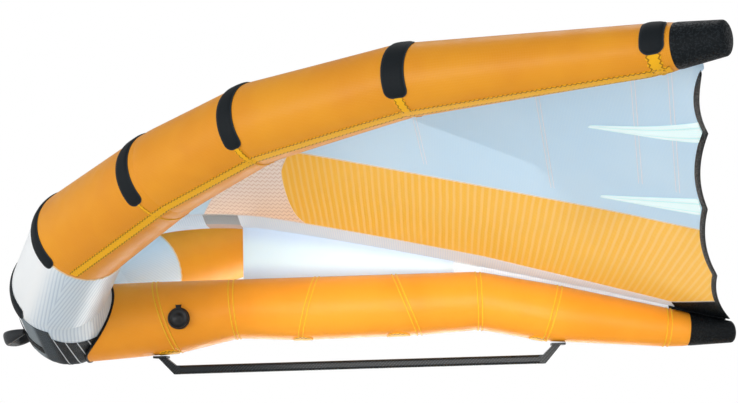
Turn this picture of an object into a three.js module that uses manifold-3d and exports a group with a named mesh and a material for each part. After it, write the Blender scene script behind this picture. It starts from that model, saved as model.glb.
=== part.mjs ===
// A hand-held inflatable wing for wing foiling: an air-filled leading edge and centre strut,
// a sewn canopy between them, a carbon boom under the strut, and a grab handle at the nose.
// Millimetres. +X runs aft, +Y to the right of a rider who faces forward, +Z up.
// The origin is the middle of the boom's flat underside.
import * as THREE from "three";
import { mergeVertices } from "three/addons/utils/BufferGeometryUtils.js";
import Module from "manifold-3d";

const wasm = await Module();
wasm.setup();

// ---------------------------------------------------------------- driving dimensions
// Leading edge: centre of the tube and its radius at each bend of the right half, nose to tip.
const LE_BENDS = [
  { x: -822, y: 0, z: 166, r: 133 },
  { x: -803, y: 177, z: 242, r: 131 },
  { x: -676, y: 423, z: 349, r: 125 },
  { x: -397, y: 683, z: 458, r: 105 },
  { x: -162, y: 869, z: 523, r: 91 },
  { x: 165, y: 1098, z: 546, r: 75 },
  { x: 610, y: 1371, z: 514, r: 47 },
  { x: 714, y: 1434, z: 512, r: 32 },
];
const TIP = LE_BENDS.length - 1;
const TIP_CAP_START = 6.32;

// Strut: centre and radius at each sewn ring; rake is how far the ring's foot lies aft of its top.
const STRUT_RINGS = [
  { x: -830, z: 150, r: 111, rake: 0 },
  { x: -541, z: 162, r: 102, rake: 71 },
  { x: -347, z: 180, r: 84, rake: 17 },
  { x: -137, z: 175, r: 89, rake: -55 },
  { x: 140, z: 177, r: 87, rake: 73 },
  { x: 344, z: 182, r: 82, rake: 0 },
  { x: 548, z: 140, r: 77, rake: -53 },
  { x: 865, z: 91, r: 53, rake: -14 },
  { x: 924, z: 84, r: 46, rake: -8 },
  { x: 1045, z: 73, r: 30, rake: 0 },
];

// Trailing edge of the right half: the strut's tail, the batten ends and the wing tip.
const TE_KNOTS = [
  { x: 1035, y: 0, z: 111 },
  { x: 908, y: 420, z: 197 },
  { x: 807, y: 800, z: 310 },
  { x: 741, y: 1130, z: 412 },
  { x: 684, y: 1405, z: 474 },
];
const TE_SCALLOP = 16;
// Spanwise place of the trailing edge that belongs to each bend of the leading edge.
const TE_Y_AT_BEND = [0, 190, 410, 640, 850, 1090, 1330, 1405];

const SIDES = 24;
const SIDE_ANGLE = (2 * Math.PI) / SIDES;
const WALL = 1.2;
const FILM = 0.8;
const BLADDER_ROOM = 1.5;
const GAP = 0.35;
const PATCH_LIFT = 1.2;
const CLOTH = 1;
const CANOPY_LIFT = 3.2;

// Canopy: where it leaves the tube (degrees up from aft), its camber and the camber's crest.
const ATTACH_DEG = [90, 90, 90, 88, 84, 75, 45, 0];
const CAMBER = [0.08, 0.08, 0.08, 0.08, 0.08, 0.075, 0.05, 0.01];
const CREST = 0.3;
const NOSE_POWER = 2.5;
const TAIL_POWER = 1.2;

// Canopy seams, as chord shares on the lower and the upper seam of the coloured band.
const LOWER_COLUMNS = [0, 0.07, 0.14, 0.215, 0.295, 0.375, 0.45, 0.53, 0.61, 0.69, 0.77, 0.85, 0.925, 1];
const UPPER_COLUMNS = [0, 0.08, 0.17, 0.255, 0.275, 0.3, 0.39, 0.48, 0.57, 0.66, 0.75, 0.84, 0.92, 1];
const COLUMN = { diagonal: 3, bandFront: 5, cornerFront: 12, last: 13 };
const ROW = { lower: 2, upper: 6, last: 15 };
// Leading-edge places of the outer rows at the nose, on every bend, and at the trailing edge,
// on every batten end.
const OUTER_ROWS_NOSE = [2.3, 2.6, 3, 3.5, 4, 4.5, 5, 5.5, 6, 6.65];
const OUTER_ROWS_TAIL = [3.23, 3.5, 3.76, 4.2, 4.7, 5.17, 5.5, 5.85, 6.25, 6.65];
// Shares of the band's width at its rows; at the nose they fall on the tube's bends.
const BAND_ROWS = [0, 0.177, 0.49, 0.81, 1];

// Joint patches: first and last side number round the tube, and how far each reaches along it,
// measured from its bend towards the tip.
const PATCH = {
  start: 7,
  ends: [15, 15, 15, 15, 14, 13],
  reach: [[-28, 28], [-25, 17], [-60, -16], [-35, 9], [-8, 44], [-13, 31]],
  thick: 4,
};

const WEB = { front: -324, rear: 277, thick: 1.5, clear: 5 };

const BOOM = { half: 506, height: 25, width: 30, round: 8, wall: 2 };
const LEG = { run: 52, corner: 19, width: 27 };
const PLATE = { length: 38, width: 50, thick: 6 };

const HANDLE = { angle: 197, half: 62, reach: 49, width: 44, thick: 13 };

const VALVE = { x: -492, z: 152, face: 104, flangeR: 30, barrelR: 17, boreR: 13, depth: 74, hingeUp: 34 };
const CAP = { r: 27.5, thick: 5.6, rim: 2.6, plugR: 11.8, plugDepth: 4 };
const PLUNGER = { stemR: 3, sealR: 15, headR: 5, top: 97 };

// ---------------------------------------------------------------- materials
function material(color, roughness, metalness = 0) {
  return new THREE.MeshStandardMaterial({ color, roughness, metalness });
}
const orangeCloth = material(0xf0942a, 0.45);
const whiteCloth = material(0xe9f1f6, 0.5);
const paleRipstop = material(0xcfe0ee, 0.55);
const bandCloth = material(0xf6b84c, 0.55);
const windowFilm = material(0xc9b6b0, 0.3);
const centreFilm = material(0xd8dcee, 0.4);
const blackPatch = material(0x23282c, 0.7);
const blackCloth = material(0x15181b, 0.6);
const bladderFilm = material(0xdfe6e8, 0.3);
const carbon = material(0x1b2126, 0.3, 0.2);
const blackPlastic = material(0x14171a, 0.4);
const springSteel = material(0xb9bdc1, 0.3, 0.9);

// ---------------------------------------------------------------- small vector helpers
const vec = (x, y, z) => new THREE.Vector3(x, y, z);
const lerp = (a, b, t) => a + (b - a) * t;
const mix = (a, b, t) => a.clone().lerp(b, t);
const mirrored = (p) => vec(p.x, -p.y, p.z);

// Linear interpolation in a list, at a place counted in list steps.
function sample(list, place) {
  const k = Math.min(Math.floor(place), list.length - 2);
  return lerp(list[k], list[k + 1], place - k);
}

// ---------------------------------------------------------------- geometry helpers
// An indexed surface from points and triangles, turned so that its faces point outwards.
function closedSurface(points, triangles) {
  let volume = 0;
  for (const [a, b, c] of triangles) {
    volume += points[a].dot(points[b].clone().cross(points[c]));
  }
  const index = volume < 0 ? triangles.flatMap(([a, b, c]) => [a, c, b]) : triangles.flat();
  const geometry = new THREE.BufferGeometry().setFromPoints(points);
  geometry.setIndex(index);
  geometry.computeVertexNormals();
  return geometry;
}

// A four-sided face as two triangles, split along its shorter diagonal.
function quadTriangles(points, a, b, c, d) {
  if (points[a].distanceTo(points[c]) <= points[b].distanceTo(points[d])) {
    return [[a, b, c], [a, c, d]];
  }
  return [[a, b, d], [b, c, d]];
}

// Skin over rings of equal count. A looped skin joins its last ring to its first;
// an open one closes both ends with a fan.
function skin(rings, looped) {
  const n = rings[0].length;
  const points = rings.flat();
  const triangles = [];
  const spans = looped ? rings.length : rings.length - 1;
  for (let i = 0; i < spans; i++) {
    const next = (i + 1) % rings.length;
    for (let j = 0; j < n; j++) {
      const k = (j + 1) % n;
      const [a, b, c, d] = [i * n + j, i * n + k, next * n + k, next * n + j];
      triangles.push(...quadTriangles(points, a, b, c, d));
    }
  }
  if (!looped) {
    for (const [ring, flip] of [[0, true], [rings.length - 1, false]]) {
      const centre = points.length;
      const sum = rings[ring].reduce((s, p) => s.add(p), vec(0, 0, 0));
      points.push(sum.divideScalar(n));
      for (let j = 0; j < n; j++) {
        const a = ring * n + j;
        const b = ring * n + ((j + 1) % n);
        triangles.push(flip ? [centre, b, a] : [centre, a, b]);
      }
    }
  }
  return closedSurface(points, triangles);
}

// A pipe wall between outer rings and inner rings given in the same order.
function pipe(outer, inner) {
  return skin([...outer, ...inner.slice().reverse()], true);
}

// A cup: open at the first ring and closed at the last.
function cup(outer, inner) {
  return skin([...inner.slice().reverse(), ...outer], false);
}

// A sheet of constant thickness over chosen cells of a grid. Edge points draw in by inset.
function sheet(cells, pointAt, normalAt, thick, inset = 0) {
  const key = (i, j) => i + "," + j;
  const corners = (i, j) => [[i, j], [i + 1, j], [i + 1, j + 1], [i, j + 1]];
  const used = new Map();
  for (const [i, j] of cells) {
    const quad = corners(i, j);
    const centre = quad.reduce((s, [a, b]) => s.add(pointAt(a, b)), vec(0, 0, 0)).divideScalar(4);
    for (const [a, b] of quad) {
      const entry = used.get(key(a, b)) || { i: a, j: b, centres: [] };
      entry.centres.push(centre);
      used.set(key(a, b), entry);
    }
  }
  const points = [];
  for (const entry of used.values()) {
    const p = pointAt(entry.i, entry.j).clone();
    if (inset && entry.centres.length < 4) {
      const sum = entry.centres.reduce((s, c) => s.add(c), vec(0, 0, 0));
      const inward = sum.divideScalar(entry.centres.length).sub(p);
      const straight = entry.centres.length === 2 ? 1 : Math.SQRT2;
      p.addScaledVector(inward.normalize(), inset * straight);
    }
    const n = normalAt(entry.i, entry.j);
    entry.index = points.length;
    points.push(p.clone().addScaledVector(n, thick / 2));
    points.push(p.clone().addScaledVector(n, -thick / 2));
  }
  const at = (i, j) => used.get(key(i, j)).index;
  const triangles = [];
  const edges = new Map();
  for (const [i, j] of cells) {
    const quad = corners(i, j).map(([a, b]) => at(a, b));
    const upper = quadTriangles(points, ...quad);
    triangles.push(...upper);
    triangles.push(...upper.map(([a, b, c]) => [a + 1, c + 1, b + 1]));
    for (let k = 0; k < 4; k++) {
      const a = quad[k];
      const b = quad[(k + 1) % 4];
      if (edges.has(key(b, a))) {
        edges.delete(key(b, a));
      } else {
        edges.set(key(a, b), [a, b]);
      }
    }
  }
  for (const [a, b] of edges.values()) {
    triangles.push([a, a + 1, b + 1], [a, b + 1, b]);
  }
  return closedSurface(points, triangles);
}

// Cells of a grid block, from the first row and column up to, not including, the last.
function block(row0, row1, column0, column1) {
  const cells = [];
  for (let i = row0; i < row1; i++) {
    for (let j = column0; j < column1; j++) {
      cells.push([i, j]);
    }
  }
  return cells;
}

// ---------------------------------------------------------------- joining and cutting
function toSolid(geometry) {
  const bare = geometry.clone();
  bare.deleteAttribute("normal");
  bare.deleteAttribute("uv");
  const merged = mergeVertices(bare, 1e-3);
  return new wasm.Manifold(
    new wasm.Mesh({
      numProp: 3,
      vertProperties: merged.attributes.position.array,
      triVerts: new Uint32Array(merged.index.array),
    }),
  );
}

function toGeometry(solid) {
  const made = solid.getMesh();
  const geometry = new THREE.BufferGeometry();
  geometry.setAttribute("position", new THREE.BufferAttribute(made.vertProperties, 3));
  geometry.setIndex(new THREE.BufferAttribute(made.triVerts, 1));
  geometry.computeVertexNormals();
  return geometry;
}

// ---------------------------------------------------------------- leading edge surface
const bendPoint = (k) => vec(LE_BENDS[k].x, LE_BENDS[k].y, LE_BENDS[k].z);

function bendDirection(k) {
  if (k === 0) return vec(0, 1, 0);
  const before = bendPoint(k).sub(bendPoint(k - 1)).normalize();
  if (k === TIP) return before;
  const after = bendPoint(k + 1).sub(bendPoint(k)).normalize();
  return before.add(after).normalize();
}

// A point on the tube's skin at bend k; angle 0 faces aft, 90 degrees faces up.
function bendSkin(k, angle, offset) {
  const along = bendDirection(k);
  const aft = vec(1, 0, 0).addScaledVector(along, -along.x).normalize();
  const up = aft.clone().cross(along);
  if (up.z < 0) up.negate();
  const radius = LE_BENDS[k].r + offset;
  return bendPoint(k)
    .addScaledVector(aft, radius * Math.cos(angle))
    .addScaledVector(up, radius * Math.sin(angle));
}

// The same at any place between bends; a negative place lies on the left half.
function leSkin(place, angle, offset = 0) {
  const size = Math.abs(place);
  const k = Math.min(Math.floor(size), TIP - 1);
  const p = mix(bendSkin(k, angle, offset), bendSkin(k + 1, angle, offset), size - k);
  return place < 0 ? mirrored(p) : p;
}

function leNormal(place, angle) {
  return leSkin(place, angle, 1).sub(leSkin(place, angle, 0)).normalize();
}

function leRing(place, offset) {
  return Array.from({ length: SIDES }, (_, i) => leSkin(place, i * SIDE_ANGLE, offset));
}

// The share of a bend-to-bend length that the gap between two neighbours takes.
function leGapShare(place, distance = GAP) {
  const k = Math.min(Math.floor(Math.abs(place)), TIP - 1);
  return distance / bendPoint(k).distanceTo(bendPoint(k + 1));
}

function lePanel(places) {
  const cut = places.slice();
  const last = cut.length - 1;
  const step = cut[0] < cut[last] ? 1 : -1;
  cut[0] += step * leGapShare(cut[0] + step * 0.01);
  cut[last] -= step * leGapShare(cut[last] - step * 0.01);
  return pipe(
    cut.map((p) => leRing(p, 0)),
    cut.map((p) => leRing(p, -WALL)),
  );
}

function tipCap(side) {
  const start = TIP_CAP_START + leGapShare(TIP_CAP_START);
  const outward = bendDirection(TIP);
  const domeRing = (offset, share, reach) =>
    leRing(TIP, offset).map((p) => mix(bendPoint(TIP), p, share).addScaledVector(outward, reach));
  const outer = [leRing(start, 0), leRing(TIP, 0), domeRing(0, 0.8, 7), domeRing(0, 0.4, 11)];
  const inner = [leRing(start, -WALL), leRing(TIP, -WALL), domeRing(-WALL, 0.5, 5)];
  const rings = [outer, inner].map((list) => (side < 0 ? list.map((r) => r.map(mirrored)) : list));
  return cup(rings[0], rings[1]);
}

function leBladder() {
  const bends = [];
  for (let k = 1 - TIP; k < TIP; k++) bends.push(k);
  const hull = (offset, short) => {
    const end = TIP - leGapShare(TIP, short);
    return toSolid(skin([-end, ...bends, end].map((p) => leRing(p, offset)), false));
  };
  const port = new THREE.CylinderGeometry(14, 14, 60, 20);
  port.rotateZ(Math.PI / 2);
  port.translate(LE_BENDS[0].x + LE_BENDS[0].r - 4, 0, LE_BENDS[0].z);
  const outer = hull(-WALL - BLADDER_ROOM, 12);
  const inner = hull(-WALL - BLADDER_ROOM - FILM, 12 + FILM);
  return toGeometry(outer.subtract(inner).subtract(toSolid(port)));
}

// A strip laid round the tube over each bend, from near the top to the front of the underside.
function jointPatch(bend, side) {
  const [near, far] = PATCH.reach[bend - 1];
  const edges = near < 0 && far > 0 ? [near, 0, far] : [near, far];
  const cells = block(0, edges.length - 1, PATCH.start, PATCH.ends[bend - 1]);
  const share = (mm) => Math.sign(mm) * leGapShare(mm < 0 ? bend - 1 : bend, Math.abs(mm));
  const place = (i) => side * (bend + share(edges[i]));
  const middle = GAP + PATCH.thick / 2;
  return sheet(
    cells,
    (i, j) => leSkin(place(i), j * SIDE_ANGLE, middle),
    (i, j) => leNormal(place(i), j * SIDE_ANGLE),
    PATCH.thick,
  );
}

// A thin patch on the tube's skin between two places and two side numbers.
function skinPatch(places, side0, side1, thick, lift) {
  const cells = block(0, places.length - 1, side0, side1);
  return sheet(
    cells,
    (i, j) => leSkin(places[i], j * SIDE_ANGLE, lift + thick / 2),
    (i, j) => leNormal(places[i], j * SIDE_ANGLE),
    thick,
    GAP,
  );
}

// ---------------------------------------------------------------- canopy surface
function trailingEdge(y) {
  let k = 0;
  while (k < TE_KNOTS.length - 2 && y > TE_KNOTS[k + 1].y) k++;
  const a = TE_KNOTS[k];
  const b = TE_KNOTS[k + 1];
  const t = (y - a.y) / (b.y - a.y);
  const scallop = TE_SCALLOP * 4 * t * (1 - t);
  return vec(lerp(a.x, b.x, t) - scallop, y, lerp(a.z, b.z, t));
}

function camberShape(c) {
  if (c < CREST) return 1 - (1 - c / CREST) ** NOSE_POWER;
  return 1 - ((c - CREST) / (1 - CREST)) ** TAIL_POWER;
}

// The canopy's middle surface at a leading-edge place and a share of the chord.
function canopyPoint(place, c) {
  const size = Math.abs(place);
  const angle = THREE.MathUtils.degToRad(sample(ATTACH_DEG, size));
  const front = leSkin(size, angle, CANOPY_LIFT);
  const back = trailingEdge(sample(TE_Y_AT_BEND, size));
  const p = mix(front, back, c);
  p.z += sample(CAMBER, size) * front.distanceTo(back) * camberShape(c);
  return place < 0 ? mirrored(p) : p;
}

// Leading-edge place of the band's lower seam: parallel to the strut, then closing on it.
function lowerSeam(c) {
  if (c <= 0.65) return 0.72;
  if (c <= 0.925) return lerp(0.72, 0.32, (c - 0.65) / 0.275);
  return lerp(0.32, 0.95, (c - 0.925) / 0.075);
}

function upperSeam(c) {
  return lerp(OUTER_ROWS_NOSE[0], OUTER_ROWS_TAIL[0], c * c);
}

// Grid rows run from the centre line (0) to the tip, columns from nose to trailing edge.
function gridPoint(row, column) {
  const i = Math.abs(row);
  let place;
  let c;
  if (i <= ROW.lower) {
    c = LOWER_COLUMNS[column];
    place = (lowerSeam(c) * i) / ROW.lower;
  } else if (i <= ROW.upper) {
    const t = BAND_ROWS[i - ROW.lower];
    c = lerp(LOWER_COLUMNS[column], UPPER_COLUMNS[column], t);
    place = lerp(lowerSeam(LOWER_COLUMNS[column]), upperSeam(UPPER_COLUMNS[column]), t);
  } else {
    const k = i - ROW.upper;
    c = UPPER_COLUMNS[column];
    place = lerp(OUTER_ROWS_NOSE[k], OUTER_ROWS_TAIL[k], c * c);
  }
  return canopyPoint(row < 0 ? -place : place, c);
}

function gridNormal(row, column) {
  const last = COLUMN.last;
  const across = gridPoint(Math.min(row + 1, ROW.last), column);
  across.sub(gridPoint(Math.max(row - 1, -ROW.last), column));
  const along = gridPoint(row, Math.min(column + 1, last)).sub(gridPoint(row, Math.max(column - 1, 0)));
  const normal = along.cross(across).normalize();
  return normal.z < 0 ? normal.negate() : normal;
}

function canopyPanel(cells, side) {
  const flip = side < 0 ? -1 : 1;
  return sheet(
    cells,
    (i, j) => gridPoint(flip * i, j),
    (i, j) => gridNormal(flip * i, j),
    CLOTH,
    GAP,
  );
}

function canopyCentre() {
  return canopyPanel(block(-ROW.lower, ROW.lower, 0, COLUMN.cornerFront), 1);
}

function cornerPatch() {
  return canopyPanel(block(-ROW.lower, ROW.lower, COLUMN.cornerFront, COLUMN.last), 1);
}

function canopyOuter(side) {
  const nose = block(ROW.lower, ROW.upper, 0, COLUMN.diagonal);
  const wing = block(ROW.upper, ROW.last, 0, COLUMN.last);
  return canopyPanel([...nose, ...wing], side);
}

function canopyWindow(side) {
  return canopyPanel(block(ROW.lower, ROW.upper, COLUMN.diagonal, COLUMN.bandFront), side);
}

function canopyBand(side) {
  return canopyPanel(block(ROW.lower, ROW.upper, COLUMN.bandFront, COLUMN.last), side);
}

// A folded tape along the trailing edge, just aft of the cloth.
function edgeBinding(side) {
  const width = 7;
  const thick = 2.4;
  const rings = [];
  for (let i = 0; i <= ROW.last; i++) {
    const row = side * i;
    const edge = gridPoint(row, COLUMN.last);
    const aft = edge.clone().sub(gridPoint(row, COLUMN.last - 1)).normalize();
    const normal = gridNormal(row, COLUMN.last);
    const near = edge.clone().addScaledVector(aft, GAP * 2);
    if (i === 0) near.y += side * GAP;
    const corner = (reach, lift) =>
      near.clone().addScaledVector(aft, reach).addScaledVector(normal, lift);
    rings.push([
      corner(0, thick / 2),
      corner(width, thick / 2),
      corner(width, -thick / 2),
      corner(0, -thick / 2),
    ]);
  }
  return skin(rings, false);
}

// A batten in its pocket under the cloth: a tapered strip from inside the canopy to its edge.
function batten(from, to, side) {
  const stations = 4;
  const thick = 3;
  const drop = CLOTH / 2 + thick / 2 + 5;
  const at = (t) => canopyPoint(side * lerp(from[0], to[0], t), lerp(from[1], to[1], t));
  const place = (t) => side * lerp(from[0], to[0], t);
  const chord = (t) => lerp(from[1], to[1], t);
  const normal = (t) => {
    const across = canopyPoint(place(t) + 0.05, chord(t)).sub(canopyPoint(place(t) - 0.05, chord(t)));
    const along = canopyPoint(place(t), chord(t) + 0.01).sub(canopyPoint(place(t), chord(t) - 0.01));
    const n = along.cross(across).normalize();
    return n.z < 0 ? n.negate() : n;
  };
  const rows = [];
  for (let s = 0; s <= stations; s++) {
    const t = s / stations;
    const run = at(Math.min(t + 0.02, 1)).sub(at(Math.max(t - 0.02, 0)));
    const wide = run.cross(normal(t)).normalize();
    const half = lerp(9, 20, t);
    rows.push([-half, 0, half].map((w) =>
      at(t).addScaledVector(wide, w).addScaledVector(normal(t), -drop)));
  }
  return sheet(
    block(0, stations, 0, 2),
    (i, j) => rows[i][j],
    (i) => normal(i / stations),
    thick,
  );
}

// ---------------------------------------------------------------- strut
function strutRing(place, offset) {
  const k = Math.min(Math.floor(place), STRUT_RINGS.length - 2);
  const t = place - k;
  const a = STRUT_RINGS[k];
  const b = STRUT_RINGS[k + 1];
  return Array.from({ length: SIDES }, (_, i) => {
    const angle = i * SIDE_ANGLE;
    const on = (s) =>
      vec(
        s.x - (s.rake / 2) * Math.sin(angle),
        (s.r + offset) * Math.cos(angle),
        s.z + (s.r + offset) * Math.sin(angle),
      );
    return mix(on(a), on(b), t);
  });
}

function strutShare(place, distance) {
  const k = Math.min(Math.floor(place), STRUT_RINGS.length - 2);
  return distance / (STRUT_RINGS[k + 1].x - STRUT_RINGS[k].x);
}

function strutPanel(first, last) {
  const places = [];
  for (let k = first; k <= last; k++) places.push(k);
  places[0] += strutShare(first, GAP);
  places[places.length - 1] -= strutShare(last - 1, GAP);
  return pipe(
    places.map((p) => strutRing(p, 0)),
    places.map((p) => strutRing(p, -WALL)),
  );
}

// The leading edge's middle as one filled body, used to shape what butts against it.
function noseEnvelope(offset) {
  return toSolid(skin([-2, -1, 0, 1, 2].map((p) => leRing(p, offset)), false));
}

function strutFrontPanel() {
  return toGeometry(toSolid(strutPanel(0, 1)).subtract(noseEnvelope(4)));
}

function valvePanel() {
  return toGeometry(toSolid(strutPanel(1, 2)).subtract(valveCylinder(VALVE.barrelR + 0.4, 60, 120)));
}

function tailCap() {
  const last = STRUT_RINGS.length - 1;
  const start = last - 1 + strutShare(last - 1, GAP);
  const end = STRUT_RINGS[last];
  const dome = (offset, share, reach) =>
    strutRing(last, offset).map((p) => mix(vec(end.x, 0, end.z), p, share).add(vec(reach, 0, 0)));
  const outer = [strutRing(start, 0), strutRing(last, 0), dome(0, 0.8, 7), dome(0, 0.4, 10)];
  const inner = [strutRing(start, -WALL), strutRing(last, -WALL), dome(-WALL, 0.5, 4)];
  return cup(outer, inner);
}

function strutBladder() {
  const last = STRUT_RINGS.length - 1;
  const places = [0.3];
  for (let k = 1; k < last; k++) places.push(k);
  const hull = (offset, end) => {
    const rings = [...places, last - end].map((p) => strutRing(p, offset));
    return toSolid(skin(rings, false));
  };
  const outer = hull(-WALL - BLADDER_ROOM, 0.12).subtract(noseEnvelope(7));
  const inner = hull(-WALL - BLADDER_ROOM - FILM, 0.13).subtract(noseEnvelope(7 + FILM));
  return toGeometry(outer.subtract(inner).subtract(valveCylinder(VALVE.barrelR + 1.5, 50, 120)));
}

// A fabric web that ties the canopy down to the strut's top, hung on the centre line.
function strutWeb() {
  const steps = 8;
  const top = [];
  for (let s = 0; s <= steps; s++) {
    const x = lerp(WEB.front, WEB.rear, s / steps);
    top.push([x, centreLineHeight(x) - WEB.clear]);
  }
  const seat = STRUT_RINGS[2].z + STRUT_RINGS[2].r + WEB.thick;
  const outline = new THREE.Shape();
  outline.moveTo(WEB.front, seat);
  outline.lineTo(WEB.rear, seat);
  for (const [x, z] of top.reverse()) outline.lineTo(x, z);
  outline.closePath();
  const geometry = new THREE.ExtrudeGeometry(outline, { depth: WEB.thick, bevelEnabled: false });
  geometry.rotateX(Math.PI / 2);
  geometry.translate(0, WEB.thick / 2, 0);
  return geometry;
}

function centreLineHeight(x) {
  const front = canopyPoint(0, 0);
  const back = canopyPoint(0, 1);
  return canopyPoint(0, (x - front.x) / (back.x - front.x)).z;
}

// ---------------------------------------------------------------- boom
// The boom's rounded section, or its bore when inset is the wall's thickness.
function boomOutline(outline, inset) {
  const half = BOOM.width / 2 - inset;
  const low = inset;
  const high = BOOM.height - inset;
  const r = BOOM.round - inset;
  outline.moveTo(-half + r, low);
  outline.lineTo(half - r, low);
  outline.absarc(half - r, low + r, r, -Math.PI / 2, 0);
  outline.absarc(half - r, high - r, r, 0, Math.PI / 2);
  outline.absarc(-half + r, high - r, r, Math.PI / 2, Math.PI);
  outline.absarc(-half + r, low + r, r, Math.PI, 1.5 * Math.PI);
  return outline;
}

function boomTube() {
  const length = 2 * (BOOM.half - GAP);
  const section = boomOutline(new THREE.Shape(), 0);
  section.holes.push(boomOutline(new THREE.Path(), BOOM.wall));
  const geometry = new THREE.ExtrudeGeometry(section, {
    depth: length,
    bevelEnabled: false,
    curveSegments: 4,
  });
  // The section is drawn in X (width) and Y (height): stand it up and turn it along X.
  geometry.rotateX(Math.PI / 2);
  geometry.rotateZ(Math.PI / 2);
  geometry.translate(-length / 2, 0, 0);
  return geometry;
}

// A moulded end of the boom: a mitred corner, a sloping leg and the plate under the strut.
function boomLeg(side, plateTop) {
  const under = plateTop - PLATE.thick;
  const profile = new THREE.Shape();
  profile.moveTo(0, 0);
  profile.lineTo(LEG.corner - 3, 0);
  profile.lineTo(LEG.corner + 2, 5);
  profile.lineTo(LEG.run + 10, under + 1);
  profile.lineTo(LEG.run - 12, under + 1);
  profile.lineTo(LEG.corner - 7, BOOM.height);
  profile.lineTo(0, BOOM.height);
  profile.closePath();
  const leg = new THREE.ExtrudeGeometry(profile, { depth: LEG.width, bevelEnabled: false });
  leg.rotateX(Math.PI / 2);
  leg.translate(0, LEG.width / 2, 0);
  const plate = new THREE.BoxGeometry(PLATE.length, PLATE.width, PLATE.thick);
  plate.translate(LEG.run + 3, 0, under + PLATE.thick / 2);
  const solid = toSolid(leg).add(toSolid(plate));
  const geometry = toGeometry(solid);
  if (side < 0) geometry.rotateZ(Math.PI);
  geometry.translate(side * BOOM.half, 0, 0);
  return geometry;
}

// ---------------------------------------------------------------- grab handle
// A padded webbing loop on the nose. Its feet narrow so that it can swing up and down.
function grabHandle() {
  const angle = THREE.MathUtils.degToRad(HANDLE.angle);
  const out = vec(Math.cos(angle), 0, Math.sin(angle));
  const wideAxis = vec(-Math.sin(angle), 0, Math.cos(angle));
  const centre = bendPoint(0);
  const foot = LE_BENDS[0].r + 8;
  const path = [
    { y: 1, s: 0, w: 6, n: [1, 0] },
    { y: 1, s: 14, w: 18, n: [1, 0] },
    { y: 1, s: 30, w: HANDLE.width / 2, n: [1, 0.3] },
    { y: 0.86, s: 43, w: HANDLE.width / 2, n: [0.7, 0.7] },
    { y: 0.6, s: HANDLE.reach, w: HANDLE.width / 2, n: [0, 1] },
  ];
  const stations = [...path, ...path.slice().reverse().map((p) => ({ ...p, y: -p.y, n: [-p.n[0], p.n[1]] }))];
  const rings = stations.map((p) => {
    const middle = centre.clone().addScaledVector(out, foot + p.s);
    middle.y = p.y * HANDLE.half;
    const normal = vec(0, p.n[0], 0).addScaledVector(out, p.n[1]).normalize();
    const half = HANDLE.thick / 2;
    const at = (w, t) => middle.clone().addScaledVector(wideAxis, w * p.w).addScaledVector(normal, t * half);
    return [at(1, 0.4), at(0.75, 1), at(-0.75, 1), at(-1, 0.4), at(-1, -0.4), at(-0.75, -1), at(0.75, -1), at(1, -0.4)];
  });
  return skin(rings, false);
}

// ---------------------------------------------------------------- inflation valve
// Everything on the valve turns round an axis that points out of the strut's left side.
// Heights are measured outwards from the strut's middle plane.
function placeValvePiece(geometry) {
  geometry.rotateX(Math.PI);
  geometry.translate(VALVE.x, 0, VALVE.z);
  return geometry;
}

function valveCylinder(radius, from, to) {
  const geometry = new THREE.CylinderGeometry(radius, radius, to - from, 24);
  geometry.translate(0, (from + to) / 2, 0);
  return toSolid(placeValvePiece(geometry));
}

function lathe(profile, segments = 24) {
  const points = profile.map(([r, h]) => new THREE.Vector2(r, h));
  return new THREE.LatheGeometry(points, segments);
}

function valveBox(width, height, from, to, up) {
  const geometry = new THREE.BoxGeometry(width, to - from, height);
  geometry.translate(0, (from + to) / 2, -up);
  return toSolid(placeValvePiece(geometry));
}

function strutEnvelope(offset) {
  return toSolid(skin([1, 2].map((p) => strutRing(p, offset)), false));
}

function valveBase() {
  const flange = valveCylinder(VALVE.flangeR, 70, VALVE.face).subtract(strutEnvelope(0.5));
  const lug = valveBox(14, 12, 80, VALVE.face, VALVE.hingeUp - 2).subtract(strutEnvelope(0.5));
  const barrel = valveCylinder(VALVE.barrelR, VALVE.depth, VALVE.face - 1);
  const bore = valveCylinder(VALVE.boreR, 60, 120);
  const guide = valveBox(2 * VALVE.boreR + 4, 6, 82, 85, 0);
  const guideHole = valveCylinder(PLUNGER.stemR + 0.5, 60, 120);
  return toGeometry(flange.add(lug).add(barrel).subtract(bore).add(guide).subtract(guideHole));
}

function valveCap() {
  const low = VALVE.face + 0.4;
  const high = low + CAP.thick;
  const plugLow = VALVE.face - CAP.plugDepth;
  const body = lathe([
    [0, high - 2],
    [CAP.plugR - 2.5, high - 2],
    [CAP.plugR - 2.5, plugLow],
    [CAP.plugR, plugLow],
    [CAP.plugR, low],
    [CAP.r, low],
    [CAP.r, high + CAP.rim - 1],
    [CAP.r - 1, high + CAP.rim],
    [CAP.r - 3, high + CAP.rim],
    [CAP.r - 5, high],
    [0, high + 0.6],
  ]);
  const tab = valveBox(11, VALVE.hingeUp - CAP.r + 4, low, low + 5, (VALVE.hingeUp + CAP.r - 4) / 2);
  const knuckle = new THREE.CylinderGeometry(2.5, 2.5, 11, 12);
  knuckle.rotateZ(Math.PI / 2);
  knuckle.translate(0, low + 2.5, -VALVE.hingeUp);
  return toGeometry(toSolid(placeValvePiece(body)).add(tab).add(toSolid(placeValvePiece(knuckle))));
}

function valvePlunger() {
  const low = VALVE.depth - 0.3;
  return placeValvePiece(
    lathe([
      [0, low - 3],
      [PLUNGER.sealR, low - 3],
      [PLUNGER.sealR, low],
      [PLUNGER.stemR, low],
      [PLUNGER.stemR, PLUNGER.top - 2.5],
      [PLUNGER.headR, PLUNGER.top - 2.5],
      [PLUNGER.headR, PLUNGER.top],
      [0, PLUNGER.top],
    ], 16),
  );
}

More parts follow.
